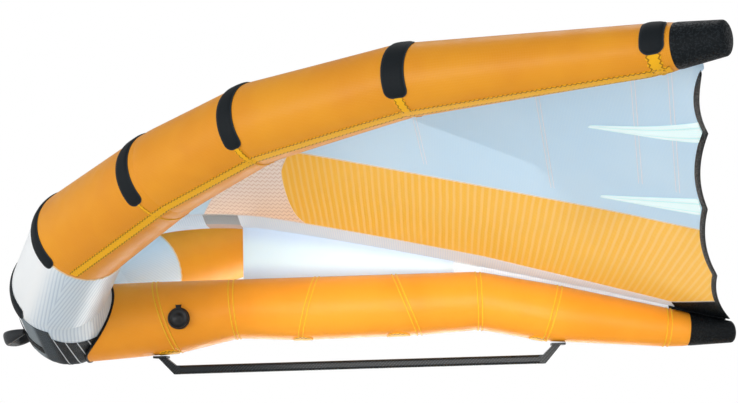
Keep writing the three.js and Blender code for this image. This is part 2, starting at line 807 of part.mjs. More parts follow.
// The return spring, drawn at the length it has when the plunger is pushed right in.
function valveSpring() {
  const turns = 2;
  const radius = 4.5;
  const pitch = 1;
  class Coil extends THREE.Curve {
    getPoint(t, target = new THREE.Vector3()) {
      const a = 2 * Math.PI * turns * t;
      return target.set(radius * Math.cos(a), 86 + pitch * turns * t, radius * Math.sin(a));
    }
  }
  const wire = new THREE.Shape();
  wire.absarc(0, 0, 0.4, 0, 2 * Math.PI);
  const geometry = new THREE.ExtrudeGeometry(wire, {
    steps: 12 * turns,
    extrudePath: new Coil(),
    curveSegments: 5,
  });
  return placeValvePiece(geometry);
}

// ---------------------------------------------------------------- the wing
const wing = new THREE.Group();

function add(name, geometry, look) {
  const mesh = new THREE.Mesh(geometry, look);
  mesh.name = name;
  wing.add(mesh);
}

function addBothSides(name, build, look) {
  add(name + "_left", build(-1), look);
  add(name + "_right", build(1), look);
}

add("nose_panel", lePanel([-1, 0, 1]), whiteCloth);
addBothSides("shoulder_panel", (side) => lePanel([side, 2 * side]), whiteCloth);
addBothSides("inner_tube_panel", (side) => lePanel([2 * side, 3 * side]), orangeCloth);
addBothSides("middle_tube_panel", (side) => lePanel([3 * side, 4 * side]), orangeCloth);
addBothSides("outer_tube_panel", (side) => lePanel([4 * side, 5 * side]), orangeCloth);
addBothSides("tip_tube_panel", (side) => lePanel([5 * side, 6 * side, TIP_CAP_START * side]), orangeCloth);
addBothSides("tip_cap", tipCap, blackCloth);
add("leading_edge_bladder", leBladder(), bladderFilm);
for (let bend = 1; bend <= 6; bend++) {
  addBothSides("joint_patch_" + bend, (side) => jointPatch(bend, side), blackPatch);
}

addBothSides("canopy_outer", canopyOuter, paleRipstop);
addBothSides("canopy_band", canopyBand, bandCloth);
addBothSides("canopy_window", canopyWindow, windowFilm);
add("canopy_centre", canopyCentre(), centreFilm);
add("canopy_corner_patch", cornerPatch(), blackCloth);
addBothSides("trailing_edge_binding", edgeBinding, blackCloth);
addBothSides("outer_batten", (side) => batten([4.5, 0.705], [5.3, 0.965], side), paleRipstop);
addBothSides("inner_batten", (side) => batten([3.2, 0.805], [3.95, 0.97], side), paleRipstop);

add("strut_front_panel", strutFrontPanel(), orangeCloth);
add("strut_valve_panel", valvePanel(), orangeCloth);
add("strut_middle_panel", strutPanel(2, 4), orangeCloth);
add("strut_rear_panel", strutPanel(4, 5), orangeCloth);
add("strut_bend_panel", strutPanel(5, 6), orangeCloth);
add("strut_tail_panel", strutPanel(6, 8), orangeCloth);
add("strut_tail_cap", tailCap(), blackCloth);
add("strut_bladder", strutBladder(), bladderFilm);
add("strut_web", strutWeb(), centreFilm);

add("boom_tube", boomTube(), carbon);
add("boom_front_leg", boomLeg(-1, 52.5), carbon);
add("boom_rear_leg", boomLeg(1, 56.5), carbon);

add("nose_patch", skinPatch([-0.84, -0.42, 0, 0.42, 0.84], 15, 22, 1.6, PATCH_LIFT), blackCloth);
add("handle_base", skinPatch([-0.45, 0, 0.45], 12, 15, 1.6, PATCH_LIFT), blackCloth);
add("grab_handle", grabHandle(), blackPatch);

add("valve_base", valveBase(), blackPlastic);
add("valve_cap", valveCap(), blackPlastic);
add("valve_plunger", valvePlunger(), blackPlastic);
add("valve_spring", valveSpring(), springSteel);

export default wing;
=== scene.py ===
"""The looks of a hand-held inflatable foiling wing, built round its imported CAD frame.

Metres, in the CAD's own frame: +X aft, +Y right, +Z up, origin at the boom's underside.
A place on the leading edge is counted in bends from the nose (0) to the tip (7); the left half
is negative. Angles round a tube start aft (0) and run over the top (90 degrees) to the front.
"""

from math import cos, pi, radians, sin

import bmesh
import bpy
import numpy as np
from mathutils import Matrix, Vector


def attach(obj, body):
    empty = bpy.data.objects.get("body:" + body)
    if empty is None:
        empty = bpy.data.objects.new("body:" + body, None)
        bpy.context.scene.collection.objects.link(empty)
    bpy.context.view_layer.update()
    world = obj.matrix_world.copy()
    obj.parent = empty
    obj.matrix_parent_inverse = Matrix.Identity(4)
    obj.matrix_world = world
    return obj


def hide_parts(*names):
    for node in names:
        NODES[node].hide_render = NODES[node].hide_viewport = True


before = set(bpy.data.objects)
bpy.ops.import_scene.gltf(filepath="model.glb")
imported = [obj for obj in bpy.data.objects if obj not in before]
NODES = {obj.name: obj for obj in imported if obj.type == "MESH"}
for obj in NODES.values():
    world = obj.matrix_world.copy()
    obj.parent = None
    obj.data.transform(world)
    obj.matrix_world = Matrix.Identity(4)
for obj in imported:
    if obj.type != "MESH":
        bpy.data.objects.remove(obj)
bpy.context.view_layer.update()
MM = 0.001

# ------------------------------------------------------------------ driving dimensions
LE_BENDS = MM * np.array([
    (-822, 0, 166, 133),
    (-803, 177, 242, 131),
    (-676, 423, 349, 125),
    (-397, 683, 458, 105),
    (-162, 869, 523, 91),
    (165, 1098, 546, 75),
    (610, 1371, 514, 47),
    (714, 1434, 512, 32),
])
TIP = len(LE_BENDS) - 1
TIP_CAP_START = 6.32
TIP_DOME = 12 * MM
LE_SOFTEN = 26 * MM
# How deep and how wide the cloth sinks at a seam, and how high and how far puckers run.
LE_SEAM_SINK, LE_SEAM_WIDTH = 1.5 * MM, 5 * MM
LE_PUCKER, LE_PUCKER_REACH = 0.8 * MM, 34 * MM
CAP_SEAM_SINK, CAP_SEAM_WIDTH = 1.0 * MM, 4 * MM

# x, z, radius, and how far the ring's foot lies aft of its top.
STRUT_RINGS = MM * np.array([
    (-830, 150, 111, 0),
    (-541, 162, 102, 71),
    (-347, 180, 84, 17),
    (-137, 175, 89, -55),
    (140, 177, 87, 73),
    (344, 182, 82, 0),
    (548, 140, 77, -53),
    (865, 91, 53, -14),
    (924, 84, 46, -8),
    (1045, 73, 30, 0),
])
STRUT_CAP = 8
STRUT_END = 9
STRUT_DOME = 10 * MM
TAB_PLACES = MM * np.array([-566, -133, 90, 526])
TAB_HALF_LONG, TAB_HALF_WIDE = 27 * MM, 24 * MM
STRUT_MEAN_RADIUS = 85 * MM
STRUT_SOFTEN = 22 * MM
STRUT_SEAM_SINK, STRUT_SEAM_WIDTH = 1.0 * MM, 4.5 * MM
STRUT_PUCKER, STRUT_PUCKER_REACH = 0.5 * MM, 26 * MM

TE_KNOTS = MM * np.array([
    (1035, 0, 111),
    (908, 420, 197),
    (807, 800, 310),
    (741, 1130, 412),
    (684, 1405, 474),
])
TE_SCALLOP = 16 * MM
TE_Y_AT_BEND = MM * np.array([0, 190, 410, 640, 850, 1090, 1330, 1405])
ATTACH_DEG = [90, 90, 90, 88, 84, 75, 45, 0]
CAMBER = [0.08, 0.08, 0.08, 0.08, 0.08, 0.075, 0.05, 0.01]
CREST = 0.3
# Shares of the chord where the sheet leaves the tube's bends and meets the scalloped edge.
NEAR_TUBE, NEAR_TAIL = 0.12, 0.78
ATTACH_WIDENED = 150 * MM
NOSE_POWER = 2.5
TAIL_POWER = 1.2
CANOPY_LIFT = 2.0 * MM
CLOTH = 0.7 * MM

LOWER_COLUMNS = [0, 0.07, 0.14, 0.215, 0.295, 0.375, 0.45, 0.53, 0.61, 0.69, 0.77, 0.85, 0.925, 1]
UPPER_COLUMNS = [0, 0.08, 0.17, 0.255, 0.275, 0.3, 0.39, 0.48, 0.57, 0.66, 0.75, 0.84, 0.92, 1]
OUTER_ROWS_NOSE = [2.3, 2.6, 3, 3.5, 4, 4.5, 5, 5.5, 6, 6.65]
OUTER_ROWS_TAIL = [3.23, 3.5, 3.76, 4.2, 4.7, 5.17, 5.5, 5.85, 6.25, 6.65]
BAND_ROWS = [0, 0.177, 0.49, 0.81, 1]
ROW_LOWER, ROW_UPPER, ROW_LAST = 2, 6, 15
COLUMN_DIAGONAL, COLUMN_BAND, COLUMN_CORNER, COLUMN_LAST = 3, 5, 12, 13

PATCH_START = 105
PATCH_ENDS = [228, 239, 241, 235, 220, 202]
PATCH_SHIFT = MM * np.array([0, 0, -4, -38, -13, 18, 9])
PATCH_WIDTHS = MM * np.array([0, 56, 42, 44, 44, 52, 44])
PATCH_THICK = 3.6 * MM
PATCH_ROUNDING = 17 * MM

TAPE_ANGLES = [(2.03, 264), (3, 267), (4, 265), (4.6, 260), (5, 257), (6.25, 255)]
TAPE_WIDTH = 25 * MM

PIPING_ARC = (236, 430)
THREAD_PITCH = 3.2 * MM

TUBE_SIDES = 96
PANEL_WALL = 1.0 * MM
BLADDER_INSET = 6 * MM


def smoothstep(x):
    x = np.clip(x, 0, 1)
    return x * x * (3 - 2 * x)


def unit(v):
    return v / np.maximum(np.linalg.norm(v, axis=-1, keepdims=True), 1e-12)


def stacked(*parts):
    """Arrays of matching shapes as the coordinates of one array of points."""
    return np.stack(np.broadcast_arrays(*parts), -1)


# ------------------------------------------------------------------ leading edge surface
LE_CENTRES = LE_BENDS[:, :3]
LE_RADII = LE_BENDS[:, 3]
LE_LENGTHS = np.linalg.norm(np.diff(LE_CENTRES, axis=0), axis=1)
LE_ARC = np.concatenate([[0], np.cumsum(LE_LENGTHS)])


def bend_axes():
    """Each bend's aft and up directions, on the plane that halves the bend."""
    along = np.zeros((TIP + 1, 3))
    step = unit(np.diff(LE_CENTRES, axis=0))
    along[0] = (0, 1, 0)
    along[TIP] = step[-1]
    along[1:TIP] = unit(step[:-1] + step[1:])
    aft = unit(np.array([1.0, 0, 0]) - along * along[:, :1])
    up = np.cross(aft, along)
    up *= np.sign(up[:, 2:3])
    return aft, up


LE_AFT, LE_UP = bend_axes()


def arc_of(place):
    return np.sign(place) * np.interp(np.abs(place), range(TIP + 1), LE_ARC)


def place_of(arc):
    """Inverse of arc_of, carried on straight past the tip."""
    size = np.interp(np.abs(arc), LE_ARC, range(TIP + 1))
    past = np.maximum(np.abs(arc) - LE_ARC[-1], 0) / LE_LENGTHS[-1]
    return np.sign(arc) * (size + past)


def le_hard(place, angle, offset):
    """A point of the tube with sharp bends. Angle is in radians."""
    place, angle, offset = np.broadcast_arrays(place, angle, offset)
    size = np.abs(place)
    k = np.minimum(np.floor(size).astype(int), TIP - 1)
    f = (size - k)[..., None]
    c, s = np.cos(angle)[..., None], np.sin(angle)[..., None]

    def at(i):
        radius = (LE_RADII[i] + offset)[..., None]
        return LE_CENTRES[i] + radius * (c * LE_AFT[i] + s * LE_UP[i])

    p = at(k) * (1 - f) + at(k + 1) * f
    p[..., 1] *= np.where(place < 0, -1, 1)
    return p


# Steps and weights of the average that rounds off the sharp bends.
SOFT_STEPS = ((-2, 1 / 9), (-1, 2 / 9), (0, 3 / 9), (1, 2 / 9), (2, 1 / 9))


def le_skin(place, angle, offset=0.0):
    """The same with every bend rounded off along the tube."""
    arc = arc_of(np.asarray(place, float))
    total = 0
    for step, weight in SOFT_STEPS:
        total = total + weight * le_hard(place_of(arc + step * LE_SOFTEN / 2), angle, offset)
    return total


def bulge(place, angle):
    """Height of the cloth over the plain tube: sunk seams, and puckers inside each bend."""
    arc = np.abs(arc_of(place))
    height = np.zeros(np.broadcast(place, angle).shape)
    inner = np.clip(np.cos(angle - radians(330)), 0, 1) ** 0.7
    for k in range(TIP):
        gap = arc - LE_ARC[k]
        if k:
            height = height - LE_SEAM_SINK * np.exp(-((gap / LE_SEAM_WIDTH) ** 2))
        ripple = np.sin(angle * (31 + k) + 1.7 * k) + 0.6 * np.sin(angle * (47 - 2 * k) + k)
        height = height + LE_PUCKER * ripple * inner * np.exp(-np.abs(gap) / LE_PUCKER_REACH)
    cap = arc - arc_of(TIP_CAP_START)
    return height - CAP_SEAM_SINK * np.exp(-((cap / CAP_SEAM_WIDTH) ** 2))


def le_cloth(place, angle, offset=0.0):
    place, angle = np.broadcast_arrays(place, angle)
    return le_skin(place, angle, offset + bulge(place, angle))


# ------------------------------------------------------------------ canopy surface
def widened(values, arc, reach):
    """Average of a function of the tube's arc over a wide window."""
    steps = np.linspace(-1, 1, 7)
    weights = 1.2 - np.abs(steps)
    weights /= weights.sum()
    return sum(w * values(place_of(np.abs(arc + t * reach))) for t, w in zip(steps, weights))


def attach_line(place):
    angle = np.radians(np.interp(np.abs(place), range(TIP + 1), ATTACH_DEG))
    return le_skin(np.abs(place), angle, CANOPY_LIFT)


def trailing_edge(y, scallop):
    k = np.clip(np.searchsorted(TE_KNOTS[:, 1], y, side="right") - 1, 0, len(TE_KNOTS) - 2)
    a, b = TE_KNOTS[k], TE_KNOTS[k + 1]
    t = ((y - a[..., 1]) / (b[..., 1] - a[..., 1]))[..., None]
    p = a + (b - a) * t
    p[..., 1] = y
    p[..., 0] -= (scallop * 4 * t * (1 - t))[..., 0]
    return p


def canopy(place, chord):
    """The canopy's middle surface at a leading-edge place and a share of the chord."""
    place, chord = np.broadcast_arrays(np.asarray(place, float), np.asarray(chord, float))
    size = np.abs(place)
    c = chord[..., None]
    near_tube = 1 - smoothstep(c / NEAR_TUBE)
    near_tail = smoothstep((c - NEAR_TAIL) / (1 - NEAR_TAIL))
    front_wide = widened(attach_line, arc_of(size), ATTACH_WIDENED)
    front = attach_line(size) * near_tube + front_wide * (1 - near_tube)
    y = np.interp(size, range(TIP + 1), TE_Y_AT_BEND)
    plain = sum(trailing_edge(np.clip(y + d, 0, 1.41), TE_SCALLOP * 0.66) for d in (-0.12, 0, 0.12)) / 3
    plain[..., 1] = y
    back = trailing_edge(y, TE_SCALLOP) * near_tail + plain * (1 - near_tail)
    p = front * (1 - c) + back * c
    rise = np.where(
        chord < CREST,
        1 - np.maximum(1 - chord / CREST, 0) ** NOSE_POWER,
        1 - np.maximum((chord - CREST) / (1 - CREST), 0) ** TAIL_POWER,
    )
    depth = np.interp(size, range(TIP + 1), CAMBER) * np.linalg.norm(back - front, axis=-1)
    p[..., 2] += depth * rise
    p[..., 1] *= np.where(place < 0, -1, 1)
    return p


def lower_seam(c):
    return np.interp(c, [0, 0.65, 0.925, 1], [0.72, 0.72, 0.32, 0.95])


def upper_seam(c):
    c = np.asarray(c, float)
    return OUTER_ROWS_NOSE[0] + (OUTER_ROWS_TAIL[0] - OUTER_ROWS_NOSE[0]) * c * c


def panel_grid(row, column):
    """Place and chord of a point of the sewing plan, in rows from the centre and columns aft."""
    size = np.abs(row)
    c_low = np.interp(column, range(14), LOWER_COLUMNS)
    c_up = np.interp(column, range(14), UPPER_COLUMNS)
    low, up = lower_seam(c_low), upper_seam(c_up)
    t = np.interp(size, range(ROW_LOWER, ROW_UPPER + 1), BAND_ROWS)
    nose = np.interp(size - ROW_UPPER, range(10), OUTER_ROWS_NOSE)
    tail = np.interp(size - ROW_UPPER, range(10), OUTER_ROWS_TAIL)
    inner = size <= ROW_LOWER
    outer = size >= ROW_UPPER
    place = np.where(inner, low * size / ROW_LOWER, low + (up - low) * t)
    place = np.where(outer, nose + (tail - nose) * c_up**2, place)
    chord = np.where(inner, c_low, c_low + (c_up - c_low) * t)
    chord = np.where(outer, c_up, chord)
    return np.where(row < 0, -place, place), chord


def canopy_normal(place, chord):
    across = canopy(place + 0.01, chord) - canopy(place - 0.01, chord)
    along = canopy(place, chord + 0.004) - canopy(place, chord - 0.004)
    n = unit(np.cross(along, across))
    return n * np.where(n[..., 2:3] < 0, -1, 1)


# ------------------------------------------------------------------ strut surface
def strut_hard(place, angle, offset):
    place, angle, offset = np.broadcast_arrays(place, angle, offset)
    k = np.clip(np.floor(place).astype(int), 0, STRUT_END - 1)
    f = (place - k)[..., None]

    def at(i):
        x, z, r, rake = (STRUT_RINGS[i, j] for j in range(4))
        s = np.sin(angle)
        return np.stack([x - rake / 2 * s, (r + offset) * np.cos(angle), z + (r + offset) * s], -1)

    return at(k) * (1 - f) + at(k + 1) * f


def strut_x(place):
    return np.interp(place, range(STRUT_END + 1), STRUT_RINGS[:, 0])


def strut_place(x):
    return np.interp(x, STRUT_RINGS[:, 0], range(STRUT_END + 1))


def strut_skin(place, angle, offset=0.0):
    x = strut_x(place) + np.maximum(np.asarray(place, float) - STRUT_END, 0)
    total = 0
    for step, weight in SOFT_STEPS:
        shifted = np.clip(x + step * STRUT_SOFTEN / 2, STRUT_RINGS[0, 0], STRUT_RINGS[-1, 0])
        total = total + weight * strut_hard(strut_place(shifted), angle, offset)
    return total


def strut_bulge(place, angle):
    x = strut_x(place)
    height = np.zeros(np.broadcast(place, angle).shape)
    for k in range(1, STRUT_END):
        gap = x - STRUT_RINGS[k, 0]
        height = height - STRUT_SEAM_SINK * np.exp(-((gap / STRUT_SEAM_WIDTH) ** 2))
        ripple = np.sin(angle * (27 + k) + 2.1 * k) + 0.5 * np.sin(angle * (43 - k))
        fold = STRUT_PUCKER * np.exp(-np.abs(gap) / STRUT_PUCKER_REACH)
        height = height + ripple * fold * (0.35 + 0.65 * np.clip(-np.sin(angle), 0, 1))
    return height


def strut_cloth(place, angle, offset=0.0):
    place, angle = np.broadcast_arrays(place, angle)
    return strut_skin(place, angle, offset + strut_bulge(place, angle))


def nose_distance(p):
    """How far a point lies outside the leading edge's middle tube."""
    q = np.array(p, float)
    q[..., 1] = np.abs(q[..., 1])
    axis = LE_CENTRES[1] - LE_CENTRES[0]
    t = np.clip(((q - LE_CENTRES[0]) @ axis) / (axis @ axis), 0, 1)[..., None]
    radius = LE_RADII[0] + (LE_RADII[1] - LE_RADII[0]) * t[..., 0]
    return np.linalg.norm(q - LE_CENTRES[0] - axis * t, axis=-1) - radius


def strut_mouth(angle, clearance):
    """The place on the strut where its skin comes clear of the leading edge."""
    low, high = np.zeros_like(angle), np.ones_like(angle)
    for _ in range(30):
        middle = (low + high) / 2
        outside = nose_distance(strut_skin(middle, angle)) > clearance
        low, high = np.where(outside, low, middle), np.where(outside, middle, high)
    return high


# ------------------------------------------------------------------ mesh helpers
def finish_mesh(name, verts, faces, cloth=None, smooth=True):
    """A mesh object. cloth holds each point's own cloth coordinates, in metres."""
    mesh = bpy.data.meshes.new(name)
    mesh.from_pydata([tuple(v) for v in verts], [], faces)
    if cloth is not None:
        flat = np.zeros((len(verts), 3), np.float32)
        flat[:, : cloth.shape[1]] = cloth
        attribute = mesh.attributes.new("cloth", "FLOAT_VECTOR", "POINT")
        attribute.data.foreach_set("vector", flat.ravel())
    mesh.validate()
    mesh.update()
    made = bmesh.new()
    made.from_mesh(mesh)
    bmesh.ops.recalc_face_normals(made, faces=made.faces)
    made.to_mesh(mesh)
    made.free()
    mesh.polygons.foreach_set("use_smooth", [smooth] * len(mesh.polygons))
    obj = bpy.data.objects.new(name, mesh)
    bpy.context.scene.collection.objects.link(obj)
    if smooth:
        mesh.set_sharp_from_angle(angle=radians(50))
    return obj


def grid_normals(points, wrap_rows=False, wrap_columns=False):
    def difference(axis, wrap):
        if wrap:
            return np.roll(points, -1, axis) - np.roll(points, 1, axis)
        return np.gradient(points, axis=axis)

    return unit(np.cross(difference(0, wrap_rows), difference(1, wrap_columns)))


def slab(name, points, thick, cloth, mask=None, wrap=False, normals=None, lift=0.0, pole=False):
    """A closed sheet over a grid. wrap joins the last column to the first; mask picks cells;
    pole fills the last row, so that the sheet ends in a dome."""
    rows, columns = points.shape[:2]
    n = grid_normals(points, wrap_columns=wrap) if normals is None else normals
    spans = columns if wrap else columns - 1
    if mask is None:
        mask = np.ones((rows - 1, spans), bool)
    top = points + n * (lift + thick / 2)
    low = points + n * (lift - thick / 2)
    count = rows * columns
    index = np.arange(count).reshape(rows, columns)
    a = index[:-1, :spans]
    b = index[1:, :spans]
    right = np.roll(index, -1, axis=1)
    c = right[1:, :spans]
    d = right[:-1, :spans]
    quads = np.stack([a, b, c, d], -1)[mask]
    edges = {}
    for quad in quads:
        for i in range(4):
            pair = (quad[i], quad[(i + 1) % 4])
            if (pair[1], pair[0]) in edges:
                del edges[(pair[1], pair[0])]
            else:
                edges[pair] = True
    faces = [tuple(q) for q in quads] + [tuple(q[::-1] + count) for q in quads]
    if pole:
        faces += [tuple(index[-1]), tuple(index[-1] + count)]
        edges = {pair: 1 for pair in edges if min(pair) < index[-1, 0]}
    faces += [(i, i + count, j + count, j) for i, j in edges]
    verts = np.concatenate([top.reshape(-1, 3), low.reshape(-1, 3)])
    flat = np.concatenate([cloth.reshape(count, -1)] * 2)
    used = np.unique(np.array([i for f in faces for i in f]))
    renumber = np.full(len(verts), -1)
    renumber[used] = np.arange(len(used))
    faces = [tuple(int(renumber[i]) for i in f) for f in faces]
    return finish_mesh(name, verts[used], faces, flat[used])


def sweep(name, rings, cloth, closed=False):
    """A solid skinned over rings; ends are capped unless closed."""
    rows, n = rings.shape[:2]
    faces = []
    for i in range(rows if closed else rows - 1):
        k = (i + 1) % rows
        for j in range(n):
            m = (j + 1) % n
            faces.append((i * n + j, i * n + m, k * n + m, k * n + j))
    if not closed:
        faces.append(tuple(range(n)))
        faces.append(tuple((rows - 1) * n + j for j in range(n)))
    return finish_mesh(name, rings.reshape(-1, 3), faces, cloth.reshape(rows * n, -1))


def arc_lengths(points):
    steps = np.linalg.norm(np.diff(points, axis=0), axis=-1)
    return np.concatenate([[0], np.cumsum(steps)])


def strand(name, points, normals, width, height, sides=8, closed=False):
    """A cord or narrow tape along a line, flat against the surface below it."""
    if closed:
        along = unit(np.roll(points, -1, 0) - np.roll(points, 1, 0))
    else:
        along = unit(np.gradient(points, axis=0))
    across = unit(np.cross(normals, along))
    turn = np.linspace(0, 2 * pi, sides, endpoint=False) + pi / sides
    width = np.broadcast_to(width, len(points))[:, None, None]
    height = np.broadcast_to(height, len(points))[:, None, None]
    rings = (
        points[:, None]
        + across[:, None] * np.cos(turn)[None, :, None] * width / 2
        + normals[:, None] * np.sin(turn)[None, :, None] * height / 2
    )
    length = arc_lengths(points)
    cloth = stacked(length[:, None], (np.cos(turn) * 0.5)[None])
    return sweep(name, rings, cloth, closed)


def joined(name, objects):
    """Several meshes as one piece."""
    bpy.ops.object.select_all(action="DESELECT")
    for o in objects:
        o.select_set(True)
    bpy.context.view_layer.objects.active = objects[0]
    bpy.ops.object.join()
    objects[0].name = name
    objects[0].data.name = name
    return objects[0]


def paint(obj, look):
    slot, material = LOOKS[look]
    obj.data.materials.clear()
    obj.data.materials.append(material)


def dress(obj, look, *nodes, body="wing"):
    """Gives a piece its look and its body, and hides the CAD nodes it stands for."""
    paint(obj, look)
    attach(obj, body)
    if nodes:
        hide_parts(*nodes)


# ------------------------------------------------------------------ shader helpers
def srgb(code):
    """A linear colour from a six-digit hex code."""
    parts = [int(code[i : i + 2], 16) / 255 for i in (0, 2, 4)]
    return tuple(p / 12.92 if p <= 0.04045 else ((p + 0.055) / 1.055) ** 2.4 for p in parts) + (1.0,)


class Graph:
    """A material's node tree, built by short calls."""

    def __init__(self, name, roughness=0.5, metallic=0.0, coat=0.0, sheen=0.0, specular=0.3):
        self.material = bpy.data.materials.new(name)
        self.material.use_nodes = True
        self.tree = self.material.node_tree
        self.bsdf = self.tree.nodes["Principled BSDF"]
        self.out = self.tree.nodes["Material Output"]
        self.set("Roughness", roughness)
        self.set("Metallic", metallic)
        self.set("Coat Weight", coat)
        self.set("Coat Roughness", 0.25)
        self.set("Sheen Weight", sheen)
        self.set("Specular IOR Level", specular)

    def put(self, socket, value):
        """Gives a socket a link, a plain value, or a colour from its hex code."""
        if isinstance(value, bpy.types.NodeSocket):
            self.tree.links.new(value, socket)
        else:
            socket.default_value = srgb(value) if isinstance(value, str) else value

    def set(self, name, value):
        self.put(self.bsdf.inputs[name], value)

    def add(self, kind, **settings):
        node = self.tree.nodes.new(kind)
        for key, value in settings.items():
            setattr(node, key, value)
        return node

    def op(self, operation, a, b=0.0, c=0.0):
        node = self.add("ShaderNodeMath", operation=operation)
        for socket, value in zip(node.inputs, (a, b, c)):
            self.put(socket, value)
        return node.outputs[0]

    def times(self, a, b):
        return self.op("MULTIPLY", a, b)

    def plus(self, a, b):
        return self.op("ADD", a, b)

    def minus(self, a, b):
        return self.op("SUBTRACT", a, b)

    def absolute(self, a):
        return self.op("ABSOLUTE", a)

    def mix(self, share, a, b):
        node = self.add("ShaderNodeMix", data_type="RGBA")
        self.put(node.inputs["Factor"], share)
        self.put(node.inputs[6], a)
        self.put(node.inputs[7], b)
        return node.outputs[2]

    def span(self, value, low, high, to_low=0.0, to_high=1.0):
        node = self.add("ShaderNodeMapRange", interpolation_type="SMOOTHSTEP")
        for socket, v in zip(node.inputs[:5], (value, low, high, to_low, to_high)):
            self.put(socket, v)
        return node.outputs[0]

    def split(self, vector):
        node = self.add("ShaderNodeSeparateXYZ")
        self.put(node.inputs[0], vector)
        return node.outputs

    def cloth(self):
        node = self.add("ShaderNodeAttribute", attribute_name="cloth")
        return self.split(node.outputs["Vector"])

    def place(self):
        return self.add("ShaderNodeTexCoord").outputs["Object"]

    def noise(self, scale, detail=3.0, vector=None):
        node = self.add("ShaderNodeTexNoise")
        self.put(node.inputs["Vector"], self.place() if vector is None else vector)
        self.put(node.inputs["Scale"], scale)
        self.put(node.inputs["Detail"], detail)
        return node.outputs["Fac"]

    def lines(self, value, pitch, share):
        """1 on lines at every pitch, over that share of it, with soft edges."""
        turned = self.op("FRACT", self.op("DIVIDE", value, pitch))
        away = self.absolute(self.minus(turned, 0.5))
        return self.span(away, 0.5 - share, 0.5 - share * 0.4)

    def weave(self, u, v, pitch, share=0.18):
        return self.op("MAXIMUM", self.lines(u, pitch, share), self.lines(v, pitch, share))

    def bump(self, height, distance, strength=1.0):
        node = self.add("ShaderNodeBump")
        self.put(node.inputs["Height"], height)
        node.inputs["Distance"].default_value = distance
        node.inputs["Strength"].default_value = strength
        for socket in ("Normal", "Coat Normal"):
            self.put(self.bsdf.inputs[socket], node.outputs[0])

    def shine_through(self, color, share, clear=0.0, painted_glow=0.0):
        """Lets a share of the light through the cloth, and leaves it partly see-through.
        Its last argument sets painted light: an emission in the cloth's own colour that stands in for
        daylight that thin cloth scatters from above."""
        self.set("Emission Color", color)
        self.set("Emission Strength", painted_glow)
        back = self.add("ShaderNodeBsdfTranslucent")
        self.put(back.inputs["Color"], color)
        first = self.add("ShaderNodeMixShader")
        self.put(first.inputs[0], share)
        self.put(first.inputs[1], self.bsdf.outputs[0])
        self.put(first.inputs[2], back.outputs[0])
        last = self.add("ShaderNodeMixShader")
        self.put(last.inputs[0], clear)
        self.put(last.inputs[1], first.outputs[0])
        self.put(last.inputs[2], self.add("ShaderNodeBsdfTransparent").outputs[0])
        self.put(self.out.inputs["Surface"], last.outputs[0])


# ------------------------------------------------------------------ materials
def coated_cloth(name, light, dark, roughness=0.42):
    """Glossy coated cloth of the air tubes: fine threads, uneven tone and slight mottling."""
    g = Graph(name, roughness, coat=0.15, specular=0.12)
    u, v, _ = g.cloth()
    threads = g.weave(u, v, THREAD_PITCH, 0.2)
    cloudy = g.noise(5.0, 3.0)
    color = g.mix(g.span(cloudy, 0.35, 0.7), light, dark)
    color = g.mix(g.times(threads, 0.10), color, "FFD08A")
    g.set("Base Color", color)
    g.set("Roughness", g.span(g.noise(30.0), 0.3, 0.7, roughness - 0.05, roughness + 0.08))
    height = g.plus(g.times(threads, 0.3), g.noise(18.0, 2.0))
    g.bump(height, 0.7 * MM, 0.35)
    return g.material


def striped_cloth():
    """White coated cloth with pale stripes that meet along a seam on the underside."""
    g = Graph("white_striped_cloth", 0.36, coat=0.12)
    u, v, angle = g.cloth()
    after = g.op("GREATER_THAN", angle, radians(260))
    front_lines = g.lines(g.minus(angle, g.times(u, 0.8)), 0.075, 0.3)
    back_lines = g.lines(g.plus(angle, g.times(u, 1.2)), 0.075, 0.3)
    front_fade = g.span(angle, radians(232), radians(256))
    front = g.times(front_lines, front_fade)
    back = g.times(back_lines, g.span(angle, radians(352), radians(330)))
    stripes = g.plus(g.times(after, back), g.times(g.minus(1.0, after), front))
    past_aft = g.span(angle, radians(420), radians(380))
    aft_tint = g.times(g.span(angle, radians(330), radians(352)), past_aft)
    fine = g.lines(g.plus(angle, g.times(u, 6.0)), 0.09, 0.25)
    stripes = g.op("MAXIMUM", stripes, g.times(fine, g.times(aft_tint, 0.4)))
    under = g.op("MAXIMUM", g.span(angle, radians(225), radians(262)), aft_tint)
    color = g.mix(under, "F4F9FC", "D6E6F2")
    color = g.mix(g.times(stripes, 0.55), color, "A9BFD6")
    g.set("Base Color", color)
    g.bump(g.plus(g.times(g.weave(u, v, THREAD_PITCH), 0.3), g.noise(18.0, 2.0)), 0.7 * MM, 0.3)
    return g.material


def patch_cloth():
    """Moulded charcoal pad of the tube joints, with a lighter worn rim."""
    g = Graph("charcoal_pad", 0.6, specular=0.12)
    edge = g.cloth()[2]
    rim = g.span(g.absolute(edge), 0.75, 1.0)
    color = g.mix(rim, "171C20", "2E373D")
    grain = g.noise(900.0, 2.0)
    g.set("Base Color", g.mix(g.span(grain, 0.3, 0.8, 0.0, 0.3), color, "2B3339"))
    g.bump(grain, 0.25 * MM, 0.5)
    return g.material


def coarse_cloth(name, dark, light, pitch=2.4 * MM, glint_share=0.35, roughness=0.5):
    """Heavy black cloth with a broken diagonal weave, whose lighter flecks are a painted glint."""
    g = Graph(name, roughness, specular=0.15)
    x, y, z = g.split(g.place())
    first = g.lines(g.plus(g.plus(x, z), y), pitch, 0.3)
    second = g.lines(g.minus(g.plus(x, y), z), pitch * 1.3, 0.25)
    broken = g.span(g.noise(260.0, 3.0), 0.45, 0.62)
    glint_fleck = g.times(g.op("MAXIMUM", first, second), broken)
    # The weave's threads show as lighter flecks in the colour: a painted glint of light caught on the
    # threads, laid over the weave's own pattern.
    g.set("Base Color", g.mix(g.times(glint_fleck, glint_share), dark, light))
    g.set("Roughness", g.span(broken, 0, 1, roughness + 0.12, roughness - 0.12))
    g.bump(g.plus(glint_fleck, g.noise(700.0, 2.0)), 0.5 * MM, 0.6)
    return g.material


